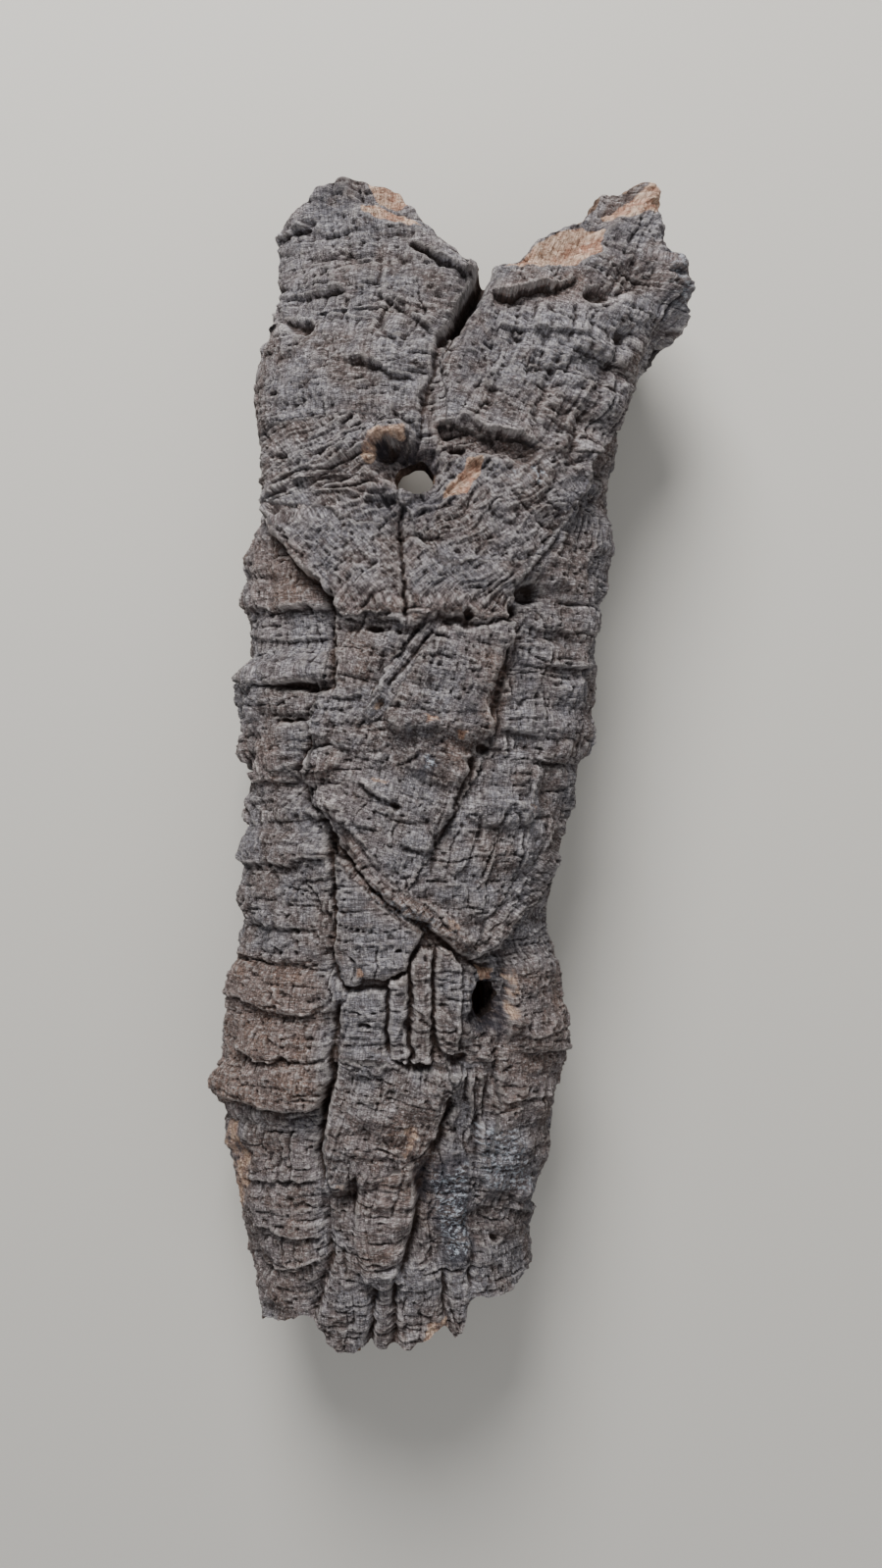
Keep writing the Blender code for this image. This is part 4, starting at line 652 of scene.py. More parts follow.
class FaceMap:
    """A map of the face as seen from above, on which the layers, furrows and ledges are raised and cut."""

    def __init__(self, step):
        self.step = step
        self.low = np.array((-92.0, -208.0))
        self.u = np.arange(self.low[0], 98.0, step)
        self.v = np.arange(self.low[1], 218.0, step)
        u, v = np.meshgrid(self.u, self.v)
        # Edges drawn on the shifted places come out ragged, as torn bark is
        self.shifted_u = u + 0.9 * noise(u / 7, v / 7, 0.5, 11) + 0.7 * noise(u / 2.6, v / 2.6, 0.5, 12)
        self.shifted_v = v + 0.9 * noise(u / 7, v / 7, 0.5, 13) + 0.7 * noise(u / 2.6, v / 2.6, 0.5, 14)
        self.shifted_u += 0.45 * noise(u / 1.1, v / 1.1, 0.5, 15)
        self.shifted_v += 0.45 * noise(u / 1.1, v / 1.1, 0.5, 16)
        self.strength = 0.95 + 0.8 * noise(u / 8, v / 8, 0.5, 17)
        self.softness = 1.0 + 0.9 * noise(u / 11, v / 11, 0.5, 20)
        self.height = np.zeros(u.shape)

    def window(self, points, margin):
        """The slice of the map that holds the points with a margin round them."""
        low = ((np.min(points, axis=0) - margin - self.low) / self.step).astype(int)
        high = ((np.max(points, axis=0) + margin - self.low) / self.step).astype(int)
        low, high = np.maximum(low, 0), np.maximum(high, 1)
        return slice(low[1], high[1]), slice(low[0], high[0])

    def along(self, path, margin, closed=False):
        """For the window round a path: distance to it, side (1 on its left), and share of the way along."""
        points = np.array(path, float)
        window = self.window(points, margin)
        u, v = self.shifted_u[window], self.shifted_v[window]
        ends = np.roll(points, -1, axis=0) if closed else points[1:]
        lengths = np.hypot(*(ends - points[: len(ends)]).T)
        nearest = np.full(u.shape, 1e9)
        side = np.ones(u.shape)
        share = np.zeros(u.shape)
        before = 0.0
        for start, end, length in zip(points, ends, lengths):
            du, dv = (end - start) / length
            t = np.clip((u - start[0]) * du + (v - start[1]) * dv, 0, length)
            away_u, away_v = u - start[0] - t * du, v - start[1] - t * dv
            distance = np.hypot(away_u, away_v)
            closer = distance < nearest
            nearest = np.where(closer, distance, nearest)
            side = np.where(closer, np.sign(du * away_v - dv * away_u + 1e-9), side)
            share = np.where(closer, (before + t) / lengths.sum(), share)
            before += length
        return window, nearest, side, share

    def inside(self, outline, margin):
        """For the window round an outline: distance inward from it, below 0 outside it."""
        window, distance, _, _ = self.along(outline, margin, closed=True)
        u, v = self.shifted_u[window], self.shifted_v[window]
        within = np.zeros(u.shape, bool)
        for (u0, v0), (u1, v1) in zip(outline, outline[1:] + outline[:1]):
            if v0 != v1:
                crosses = (v0 > v) != (v1 > v)
                within ^= crosses & (u < (u1 - u0) * (v - v0) / (v1 - v0) + u0)
        return window, np.where(within, distance, -distance)

    def layer(self, outline, rise, crown, reach, edge):
        """Brings what the outline holds to the height of a layer with a rounded top."""
        window, inward = self.inside(outline, 3.0)
        share = np.clip(inward / reach, 0.0, 1.0)
        top = rise + crown * np.sqrt(1.0 - (1.0 - share) ** 2)
        cover = fade(inward / self.softness[window], -0.3, edge)
        self.height[window] += cover * (top - self.height[window])

    def rings(self, outline, bulge, tilt, marks):
        """Bulges the bark between the marks of its growth, most at the lower end of each ring."""
        window, inward = self.inside(outline, 3.0)
        u, v = np.meshgrid(self.u, self.v)
        wave = 2.2 * noise(u / 16, v / 30, 0.5, 18) + 0.8 * noise(u / 5, v / 12, 0.5, 19)
        place = (self.shifted_v + wave - tilt * u)[window]
        number = np.interp(place, marks, np.arange(len(marks)))
        share = number - np.floor(number)
        swell = 1.0 - np.abs(2.0 * share**0.8 - 1.0) ** 3
        self.height[window] += bulge * fade(inward, -0.5, 2.5) * (swell - 0.7) * self.strength[window]

    def chip(self, outline, depth, edge):
        window, inward = self.inside(outline, 3.0)
        self.height[window] -= depth * fade(inward, -0.4, edge)

    def furrow(self, path, depth, width):
        """Cuts a sharp groove with wide, low shoulders, which runs out at both ends."""
        window, distance, _, share = self.along(path, 4.0 * width + 2.0)
        ends = fade(share, 0.0, 0.06) * fade(1.0 - share, 0.0, 0.06)
        width = width * (0.6 + 0.4 * self.strength[window])
        groove = 0.8 * np.exp(-((distance / width) ** 2)) + 0.2 * np.exp(-((distance / (2.6 * width)) ** 2))
        self.height[window] -= depth * ends * groove * self.strength[window]

    def ledge(self, path, drop, reach, groove, under):
        """Lifts the bark on the left of the path, most at the path itself, and cuts under it."""
        window, distance, side, share = self.along(path, 1.2 * reach)
        ends = fade(share, 0.0, 0.12) * fade(1.0 - share, 0.0, 0.12)
        beyond_ends = fade(4.0 - distance, -2.0, 3.0)
        ends = np.where((share <= 0.0) | (share >= 1.0), ends * beyond_ends, ends)
        back = side * distance
        lifted = fade(back, -0.35, 0.45) * np.clip(1.0 - back / reach, 0.0, 1.0) ** 1.3
        cut = fade(-back, -0.1, 0.7) * np.exp(np.minimum(back + 0.7, 0.0) / under)
        self.height[window] += ends * (drop * lifted - groove * cut) * self.strength[window]

    def ridge(self, path, rise, width):
        window, distance, _, share = self.along(path, 1.5 * width)
        ends = fade(share, 0.0, 0.08) * fade(1.0 - share, 0.0, 0.08)
        rounded = np.sqrt(np.clip(1.0 - (distance / (1.15 * width)) ** 2, 0.0, 1.0))
        self.height[window] += rise * ends * rounded * (0.5 + 0.5 * self.strength[window])

    def pit(self, at, half, depth):
        at, half = np.array(at, float), np.array(half, float)
        window = self.window([at - 1.5 * half, at + 1.5 * half], 2.0)
        u, v = self.shifted_u[window], self.shifted_v[window]
        across = (u - at[0] + 1.2 * noise(u / 3.1, v / 2.7, 0.5, 23)) / half[0]
        along = (v - at[1] + 1.0 * noise(u / 3.3, v / 2.9, 0.5, 24)) / half[1]
        self.height[window] -= depth * fade(-np.hypot(across, along), -1.25, -0.45)

    def blurred(self, radius):
        """The height smoothed over about that radius."""
        reach = int(2.5 * radius / self.step)
        weights = np.exp(-0.5 * (np.arange(-reach, reach + 1) * self.step / radius) ** 2)
        weights /= weights.sum()
        padded = np.pad(self.height, reach, mode="edge")
        rows = sum(w * padded[i : i + self.height.shape[0]] for i, w in enumerate(weights))
        return sum(w * rows[:, i : i + self.height.shape[1]] for i, w in enumerate(weights))

    def painted(self, patches, edge):
        """A new map of how strongly each place is covered by the patches, with an edge that wide."""
        cover = np.zeros(self.height.shape)
        for strength, outline in patches:
            window, inward = self.inside(outline, edge)
            cover[window] = np.maximum(cover[window], strength * fade(inward, -0.7 * edge, 0.5 * edge))
        return cover

    def read(self, values, u, v):
        """The map's values at places between its points."""
        column = np.clip((u - self.low[0]) / self.step, 0, len(self.u) - 1.001)
        row = np.clip((v - self.low[1]) / self.step, 0, len(self.v) - 1.001)
        i, j = row.astype(int), column.astype(int)
        s, t = row - i, column - j
        low = values[i, j] * (1 - t) + values[i, j + 1] * t
        high = values[i + 1, j] * (1 - t) + values[i + 1, j + 1] * t
        return low * (1 - s) + high * s


def carve_face(face):
    """Puts every layer, ring, ledge, furrow, rim, break and pit of the face on its map."""
    for layer in LAYERS:
        face.layer(layer["outline"], layer["rise"], layer["crown"], layer["reach"], layer["edge"])
    for ring in RINGS:
        face.rings(ring["outline"], ring["bulge"], ring["tilt"], ring["marks"])
    for ledge in LEDGES:
        face.ledge(ledge["path"], ledge["drop"], ledge["reach"], ledge["groove"], ledge["under"])
    for ridge in RIDGES:
        face.ridge(ridge["path"], ridge["rise"], ridge["width"])
    for furrow in FURROWS:
        face.furrow(furrow["path"], furrow["depth"], furrow["width"])
    for chip in CHIPS:
        face.chip(chip["outline"], chip["depth"], chip["edge"])
    for pit in PITS:
        face.pit(pit["at"], pit["half"], pit["depth"])
    u, v = np.meshgrid(face.u, face.v)
    face.height += 1.1 * noise(u / 12, v / 10, 0.5, 21) + 0.6 * noise(u / 5, v / 4, 0.5, 22)


def back_relief(around, y):
    """Relief of the sides and back: columns of bark side by side, each with bulging growth rings."""
    shifted = around + 7.0 * noise(0.5, y / 55, 0.5, 31) + 1.5 * noise(around / 6, y / 6, 0.5, 32)
    column = np.floor(shifted / 27.0)
    across = 2.0 * (shifted / 27.0 - column) - 1.0
    rounded = 4.2 * (1.0 - np.abs(across) ** 3) - 2.6
    period = 19.0 + 6.0 * lattice(column.astype(np.int64), 0, 0, 33)
    ring = y / period + 3.0 * lattice(column.astype(np.int64), 1, 0, 34)
    ring += 0.3 * noise(around / 9, y / 25, 0.5, 35)
    share = ring - np.floor(ring)
    bulging = 0.9 * (1.0 - np.abs(2.0 * share**0.8 - 1.0) ** 3)
    lifted = 0.8 * (1.0 - share) ** 2 * fade(share, 0.0, 0.05)
    return rounded + bulging + lifted - 0.5 + 0.8 * noise(around / 5, y / 4, 0.5, 36)


def base_surface(angle, y):
    """Points of the smooth tube under the relief."""
    depth = np.interp(y, *np.array(DEPTH, float).T)
    middle = WIDEST_SHARE * depth
    closeness = (EYE_HEIGHT - middle) / (EYE_HEIGHT - SEEN_LEVEL)
    left = closeness * np.interp(y / closeness, *np.array(LEFT_SIDE, float).T)
    right = closeness * np.interp(y / closeness, *np.array(RIGHT_SIDE, float).T)
    c, s = np.cos(angle), np.sin(angle)
    squareness = np.where(s > 0, FACE_SQUARENESS, BACK_SQUARENESS)
    half_depth = np.where(s > 0, depth - middle, middle - BACK_RAISED)
    x = (left + right) / 2 + (right - left) / 2 * np.sign(c) * np.abs(c) ** squareness
    z = middle + half_depth * np.sign(s) * np.abs(s) ** squareness
    return np.stack([x, y + 0 * angle, z], axis=-1)


def even_angles():
    """Angles round the tube at even steps along its skin: SKIN_STEP in front, BACK_STEP behind."""
    angle = np.linspace(-0.25, 2 * np.pi - 0.25, 1500)
    points = base_surface(angle, np.zeros(angle.shape))
    lengths = np.hypot(*np.diff(points[:, [0, 2]], axis=0).T)
    behind = np.sin(0.5 * (angle[1:] + angle[:-1])) < -0.3
    steps = np.concatenate([[0], np.cumsum(lengths / np.where(behind, BACK_STEP, SKIN_STEP))])
    count = int(steps[-1])
    return np.interp(np.arange(count) * steps[-1] / count, steps, angle)


def normals_of(points):
    """Outward normals of a grid of points whose second direction closes on itself."""
    along = np.gradient(points, axis=0)
    around = np.roll(points, -1, axis=1) - np.roll(points, 1, axis=1)
    normal = np.cross(along, around)
    return normal / np.linalg.norm(normal, axis=-1, keepdims=True)


def ellipse_margin(hole, u, v):
    """How far a place is outside an elliptical hole, below 0 inside it."""
    (cu, cv), (ru, rv) = hole["centre"], hole["radii"]
    return (np.hypot((u - cu) / ru, (v - cv) / rv) - 1.0) * min(ru, rv)


def split_margin(x, y):
    """How far a place on the back is from the split under the fork, below 0 inside it."""
    points = np.array(BACK_SPLIT["path"], float)
    margin = np.full(x.shape, 1e9)
    for number, (start, end) in enumerate(zip(points, points[1:])):
        direction = end - start
        t = ((x - start[0]) * direction[0] + (y - start[1]) * direction[1]) / (direction @ direction)
        t = np.clip(t, 0, 1)
        away = np.hypot(x - start[0] - t * direction[0], y - start[1] - t * direction[1])
        radius = BACK_SPLIT["radius"] + BACK_SPLIT["widening"] * (number + t) / (len(points) - 1)
        margin = np.minimum(margin, away - radius)
    return margin


def bark_margin(base, u, v, facing):
    """How far inside the bark each place of the skin is: below 0 past the ends and in the openings."""
    x, y, z = base[..., 0], base[..., 1], base[..., 2]
    face_margin = np.minimum(
        np.interp(u, *np.array(TOP_EDGE, float).T) - v,
        v - np.interp(u, *np.array(FOOT_EDGE, float).T),
    )
    back_margin = np.minimum(
        np.interp(x, *np.array(BACK_TOP_EDGE, float).T) - y,
        y - np.interp(x, *np.array(BACK_FOOT_EDGE, float).T),
    )
    ragged = EDGE_RAGGED * noise(x / 5, y / 9, z / 5, 41)
    share = fade(facing, -0.35, 0.25)
    margin = share * face_margin + (1 - share) * back_margin + ragged
    holes = np.minimum(ellipse_margin(FORK_HOLE, u, v), ellipse_margin(LOWER_HOLE, u, v))
    margin = np.where(facing > 0.2, np.minimum(margin, holes + 0.2 * ragged), margin)
    margin = np.where(facing < -0.2, np.minimum(margin, split_margin(x, y) + ragged), margin)
    return margin + 0.8 * noise(x / 2, y / 3, z / 2, 42) + 0.5 * noise(x / 1.1, y / 1.5, z / 1.1, 43)


def without_corner_contacts(cells):
    """Fills cells of the skin's grid until none meet at a corner only."""
    while True:
        right, up = np.roll(cells, -1, axis=1)[:-1], cells[1:]
        here, both = cells[:-1], np.roll(cells, -1, axis=1)[1:]
        corner = (here & both & ~right & ~up) | (right & up & ~here & ~both)
        if not corner.any():
            return cells
        rows, columns = np.nonzero(corner)
        cells = cells.copy()
        cells[rows, columns] = cells[rows + 1, columns] = True


def smooth_rim(skin, edges):
    """Rounds off the steps that the grid leaves along the edges of the bark."""
    for _ in range(3):
        total = np.zeros(skin.shape)
        count = np.zeros(len(skin))
        for here, there in (edges.T, edges.T[::-1]):
            np.add.at(total, here, skin[there])
            np.add.at(count, here, 1)
        rim = count > 0
        skin[rim] = 0.5 * skin[rim] + 0.5 * total[rim] / count[rim, None]


def placed(points):
    """Turns the bark's length along +Y and puts the middle of its box over the origin."""
    x, y, z = points.T
    turned_x = math.cos(LEAN) * x - math.sin(LEAN) * y
    turned_y = math.sin(LEAN) * x + math.cos(LEAN) * y
    return np.stack([turned_x + PLACE[0], turned_y + PLACE[1], z], axis=-1)


def engrave_face(face):
    """Adds the fine cracks and strands of the face to its map."""
    for strand in STRANDS:
        face.ridge(strand["path"], strand["rise"], strand["width"])
    for crack in CRACKS:
        face.furrow(crack["path"], crack["depth"], crack["width"])


def grain_of(face, around, y, u, v, on_face):
    """Places across and along the grain, a number for its zone, and how wiry the bark is there."""
    turn = np.zeros(face.height.shape)
    zone = np.zeros(face.height.shape)
    wiry = np.zeros(face.height.shape)
    for number, grain in enumerate(GRAINS, start=1):
        window, inward = face.inside(grain["outline"], 1.0)
        turn[window] = np.where(inward > 0, math.radians(grain["turn"]), turn[window])
        zone[window] = np.where(inward > 0, number, zone[window])
        wiry[window] += fade(inward, -1.0, 3.0) * (grain["wiry"] - wiry[window])
    row = np.clip(np.round((v - face.low[1]) / face.step).astype(int), 0, len(face.v) - 1)
    column = np.clip(np.round((u - face.low[0]) / face.step).astype(int), 0, len(face.u) - 1)
    here = on_face > 0.3
    angle = np.where(here, turn[row, column], 0.0)
    zone = np.where(here, zone[row, column], 0.0)
    turned = zone > 0
    across = np.where(turned, np.cos(angle) * u + np.sin(angle) * v, around)
    along = np.where(turned, -np.sin(angle) * u + np.cos(angle) * v, y)
    return across, along, zone, np.where(here, wiry[row, column], 0.0)


def small_plates(s, t, zone):
    """Heights of the small plates of dry bark, parted by cracks along and across the grain."""
    s = s + 0.4 * PLATE_WIDTH * noise(s / 14, t / 26, zone, 94) + 0.4 * noise(s / 2.5, t / 4, zone, 95)
    column = np.floor(s / PLATE_WIDTH)
    shift = 2.5 * PLATE_LENGTH * noise(0.73 * column, 0.5, zone, 96)
    t = t + shift + 0.5 * noise(s / 4, t / 2.5, zone, 97)
    row = np.floor(t / PLATE_LENGTH)
    across, along = s / PLATE_WIDTH - column, t / PLATE_LENGTH - row
    to_side = PLATE_WIDTH * np.minimum(across, 1.0 - across)
    to_end = PLATE_LENGTH * np.minimum(along, 1.0 - along)
    shown = fade(noise(s / 9, t / 8, zone, 98), -0.35, 0.25)
    cracks = 0.9 * fade(0.55 - to_end, 0.0, 0.4) + 0.6 * fade(0.5 - to_side, 0.0, 0.35)
    return 0.8 * noise(0.71 * column, 0.67 * row, zone, 99) - shown * cracks


def fine_relief(s, t, zone, wiry):
    """Flakes, growth lines, fibres, cracks and pits of the bark, for places across and along its grain."""
    bent_s = s + 1.5 * noise(s / 6, t / 6, zone, 71) + 0.25 * noise(s / 1.9, t / 1.9, zone, 72)
    bent_t = t + 1.6 * noise(s / 8, t / 7, zone, 73) + 0.25 * noise(s / 2.1, t / 2.1, zone, 74)
    calm = 1.0 - wiry

    sheets = 2.4 * noise(bent_s / 9, bent_t / 8, zone, 75)
    sheets += 0.8 * noise(bent_s / 3.2, bent_t / 3.6, zone, 76)
    steps = sheets / 0.75
    flakes = 0.75 * (np.floor(steps) + fade(steps - np.floor(steps), 0.0, 0.25))
    relief = 0.5 * flakes + 0.15 * sheets + calm * small_plates(s, t, zone)

    lined = fade(noise(s / 12, t / 10, zone, 77), -0.1, 0.45) * calm
    relief -= 0.45 * lined * np.abs(noise(bent_s / 7, bent_t / 1.05, zone, 78))
    fibrous = fade(noise(s / 10, t / 14, zone, 79), -0.5, 0.3) * calm
    relief -= (0.65 * fibrous + 0.15) * np.abs(noise(bent_s / 0.85, bent_t / 8, zone, 80))

    gap = np.abs(noise(bent_s / 5.5, bent_t / 22, zone, 81))
    upright = fade(0.10 - gap, 0.0, 0.06) * fade(noise(s / 9, t / 12, zone, 82), -0.1, 0.3)
    gap = np.abs(noise(bent_s / 20, bent_t / 6.5, zone, 83))
    level = fade(0.08 - gap, 0.0, 0.05) * fade(noise(s / 12, t / 9, zone, 84), 0.1, 0.4)
    relief -= (1.2 * upright + 1.1 * level) * (1.0 - 0.8 * wiry)

    strands_s = s + 3.2 * noise(s / 11, t / 11, zone, 85) + 0.6 * noise(s / 4, t / 4, zone, 91)
    relief -= 1.4 * wiry * np.abs(noise(strands_s / 1.5, t / 18, zone, 86))
    relief -= 1.2 * wiry * np.abs(noise(strands_s / 0.8, t / 10, zone, 87))
    gap = np.abs(noise(strands_s / 4.5, t / 18, zone, 92))
    relief -= 1.6 * wiry * fade(0.14 - gap, 0.0, 0.09) * fade(noise(s / 6, t / 8, zone, 93), -0.3, 0.2)

    relief -= 0.9 * fade(noise(s / 1.7, t / 1.2, zone, 88), 0.54, 0.74)
    relief += 0.3 * fade(noise(s / 1.2, t / 0.9, zone, 89), 0.2, 0.55)
    relief += 0.22 * noise(s / 0.75, t / 0.7, zone, 90)
    return relief + 0.6


def smoothed(grid, reach):
    """A grid's values averaged over that many rows and columns on each side, with its columns closed."""
    width = 2 * reach + 1
    padded = np.pad(grid, ((reach, reach), (0, 0)), mode="edge")
    rows = np.cumsum(np.vstack([np.zeros((1, grid.shape[1])), padded]), axis=0)
    rows = (rows[width:] - rows[:-width]) / width
    padded = np.pad(rows, ((0, 0), (reach, reach)), mode="wrap")
    columns = np.cumsum(np.hstack([np.zeros((grid.shape[0], 1)), padded]), axis=1)
    return (columns[:, width:] - columns[:, :-width]) / width


def skins():
    """The outer and inner points of the bark on one grid, which cells of the grid hold bark, and the
    values at the points that its materials read."""
    face = FaceMap(MAP_STEP)
    carve_face(face)
    smooth_height = face.blurred(7.0)
    engrave_face(face)

    angle, y = np.meshgrid(even_angles(), np.arange(LOW_END, HIGH_END, SKIN_STEP))
    base = base_surface(angle, y)
    normal = normals_of(base)
    facing = normal[..., 2]
    trimmed = SIDE_TRIM * fade(facing, -0.75, -0.2) * fade(facing, 0.6, 0.1)
    base = base - normal * trimmed[..., None]
    closeness = (EYE_HEIGHT - base[..., 2]) / (EYE_HEIGHT - SEEN_LEVEL)
    u, v = base[..., 0] / closeness, base[..., 1] / closeness
    around = np.degrees(angle) * 0.85

    seen = fade(facing, 0.08, 0.45)
    # On the limbs the layers end sooner, or they would widen the outline
    on_limbs = fade(y, 75.0, 105.0)
    on_face = fade(facing, 0.08 + 0.2 * on_limbs, 0.45 + 0.35 * on_limbs)
    relief = on_face * face.read(face.height, u, v) + (1 - on_face) * back_relief(around, y)
    for spot, radius in WORN_SPOTS:
        from_spot = np.hypot(base[..., 0] - spot[0], base[..., 1] - spot[1])
        relief += np.where(facing < 0, 6.0 * fade(from_spot, 1.3 * radius, 0.9 * radius), 0.0)
    from_stub = np.linalg.norm(base - np.array(STUB["centre"]), axis=-1) / STUB["radius"]
    relief += STUB["rise"] * np.exp(-(from_stub**4))
    under = on_face * face.read(smooth_height, u, v) - WALL + 1.5 * noise(around / 18, y / 40, 0.5, 51)
    large = relief.copy()

    across, along, zone, wiry = grain_of(face, around, y, u, v, seen)
    fresh = seen * face.read(face.painted(FRESH, 1.5), u, v)
    relief += (1 - 0.4 * fresh) * fine_relief(across, along, zone, np.maximum(wiry, 0.7 * fresh))
    under = np.minimum(under, relief - THINNEST)
    under += 0.5 * noise(around / 2.0, y / 30, 0.5, 52) + 0.3 * noise(around / 6, y / 5, 0.5, 53)

    outer = base + normal * relief[..., None]
    inner = base + normal * under[..., None]
    outer[..., 2] = np.maximum(outer[..., 2], 0.0)
    inner[..., 2] = np.maximum(inner[..., 2], THINNEST)

    values = {
        # hollow and deep say how far each place lies below its surroundings; the material reads them to
        # paint highlights on crests and shade in cracks and furrows
        "hollow": smoothed(relief, 2) - relief,
        "deep": smoothed(smoothed(large, 7), 7) - large,
        "fresh": fresh,
        "warm": seen * face.read(face.painted(WARM, 6.0), u, v),
        "stain_and_painted_shade": seen * face.read(face.painted(STAINS_AND_PAINTED_SHADE, 4.0), u, v),
        "lichen": seen * face.read(face.painted(LICHEN, 2.0), u, v),
        "pale": seen * face.read(face.painted(PALE, 7.0), u, v),
        "wiry": wiry,
        "across": across,
        "along": along,
        "zone": zone,
    }
    margin = bark_margin(base, u, v, facing)
    corners = (margin + np.roll(margin, -1, axis=1)) / 2
    bark = (corners[:-1] + corners[1:]) / 2 > 0
    return outer, inner, without_corner_contacts(bark), values


def bark_surface():
    """Points, four-cornered faces, the side of each face and the values at the points of the bark."""
    outer, inner, bark, values = skins()
    rows, columns = outer.shape[:2]
    number = np.arange(rows * columns).reshape(rows, columns)
    a, b = number[:-1], np.roll(number, -1, axis=1)[:-1]
    d, c = number[1:], np.roll(number, -1, axis=1)[1:]
    quads = np.stack([a, d, c, b], axis=-1)[bark]

    shut = np.zeros((1, columns), bool)
    below, above = np.vstack([shut, bark[:-1]]), np.vstack([bark[1:], shut])
    left, right = np.roll(bark, 1, axis=1), np.roll(bark, -1, axis=1)
    open_edges = np.concatenate([
        np.stack([start[bark & ~beside], end[bark & ~beside]], axis=-1)
        for start, end, beside in ((a, d, left), (d, c, above), (c, b, right), (b, a, below))
    ])

    rim = np.unique(open_edges)
    place_in_rim = np.zeros(rows * columns, int)
    place_in_rim[rim] = np.arange(len(rim))
    outer, inner = outer.reshape(-1, 3), inner.reshape(-1, 3)
    for skin in (outer, inner):
        smooth_rim(skin, open_edges)

    layers = [rim]
    points = [outer, inner]
    count = 2 * rows * columns
    for layer in range(1, RIM_LAYERS):
        share = layer / RIM_LAYERS
        between = (1 - share) * outer[rim] + share * inner[rim]
        rough = np.stack([noise(*(between.T / 6), seed) for seed in (61, 62, 63)], axis=-1)
        rough += 0.8 * np.stack([noise(*(between.T / 1.8), seed) for seed in (71, 72, 73)], axis=-1)
        points.append(between + 1.2 * math.sin(math.pi * share) * rough)
        layers.append(count + np.arange(len(rim)))
        count += len(rim)
    layers.append(rim + rows * columns)
    walls = []
    start, end = place_in_rim[open_edges].T
    for near, far in zip(layers, layers[1:]):
        walls.append(np.stack([near[end], near[start], far[start], far[end]], axis=-1))
    walls = np.concatenate(walls)

    faces = np.concatenate([quads, quads[:, ::-1] + rows * columns, walls])
    side = np.repeat((0, 1, 2), (len(quads), len(quads), len(walls)))
    points = placed(np.concatenate(points))
    for name in values:
        flat = values[name].reshape(-1)
        values[name] = np.concatenate([flat, flat] + [flat[rim]] * (RIM_LAYERS - 1))
    used, faces = np.unique(faces, return_inverse=True)
    return points[used], faces.reshape(-1, 4), side, {name: value[used] for name, value in values.items()}


def mesh_from(name, points, faces, values, side=None):
    """A mesh with faces of one size, whose points carry the values."""
    corners = faces.shape[1]
    mesh = bpy.data.meshes.new(name)
    mesh.vertices.add(len(points))
    mesh.vertices.foreach_set("co", (points * MM).astype(np.float32).ravel())
    mesh.loops.add(faces.size)
    mesh.loops.foreach_set("vertex_index", faces.astype(np.int32).ravel())
    mesh.polygons.add(len(faces))
    mesh.polygons.foreach_set("loop_start", np.arange(0, faces.size, corners, dtype=np.int32))
    mesh.update(calc_edges=True)
    if side is not None:
        mesh.polygons.foreach_set("material_index", side.astype(np.int32))
    for value_name, value in values.items():
        attribute = mesh.attributes.new(value_name, "FLOAT", "POINT")
        attribute.data.foreach_set("value", value.astype(np.float32))
    return mesh


def thinned(mesh, triangles):
    """The mesh's points, triangles, sides and values once it has about that many triangles."""
    for number in range(3):
        mesh.materials.append(None)
    whole = bpy.data.objects.new("whole", mesh)
    bpy.context.scene.collection.objects.link(whole)
    thin_out = whole.modifiers.new("thin_out", "DECIMATE")
    thin_out.ratio = triangles / (2.0 * len(mesh.polygons))
    result = bpy.data.meshes.new_from_object(whole.evaluated_get(bpy.context.evaluated_depsgraph_get()))
    bpy.data.objects.remove(whole)

    points = np.empty(3 * len(result.vertices), np.float32)
    result.vertices.foreach_get("co", points)
    points = points.reshape(-1, 3) / MM
    result.calc_loop_triangles()
    faces = np.empty(3 * len(result.loop_triangles), np.int32)
    result.loop_triangles.foreach_get("vertices", faces)
    of_polygon = np.empty(len(result.loop_triangles), np.int32)
    result.loop_triangles.foreach_get("polygon_index", of_polygon)
    side = np.empty(len(result.polygons), np.int32)
    result.polygons.foreach_get("material_index", side)
    values = {}
    for attribute in result.attributes:
        if attribute.domain == "POINT" and attribute.data_type == "FLOAT":
            value = np.empty(len(result.vertices), np.float32)
            attribute.data.foreach_get("value", value)
            values[attribute.name] = value
    bpy.data.meshes.remove(result)
    points[points[:, 2] < GROUND_MARGIN, 2] = 0.0
    return points, faces.reshape(-1, 3), side[of_polygon], values


def add_piece(name, points, faces, values, material):
    used, faces = np.unique(faces, return_inverse=True)
    mesh = mesh_from(name, points[used], faces.reshape(-1, 3), {k: v[used] for k, v in values.items()})
    mesh.shade_smooth()
    mesh.materials.append(material)
    piece = bpy.data.objects.new(name, mesh)
    bpy.context.scene.collection.objects.link(piece)
    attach(piece, "root")
    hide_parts("cork_bark")
    return piece


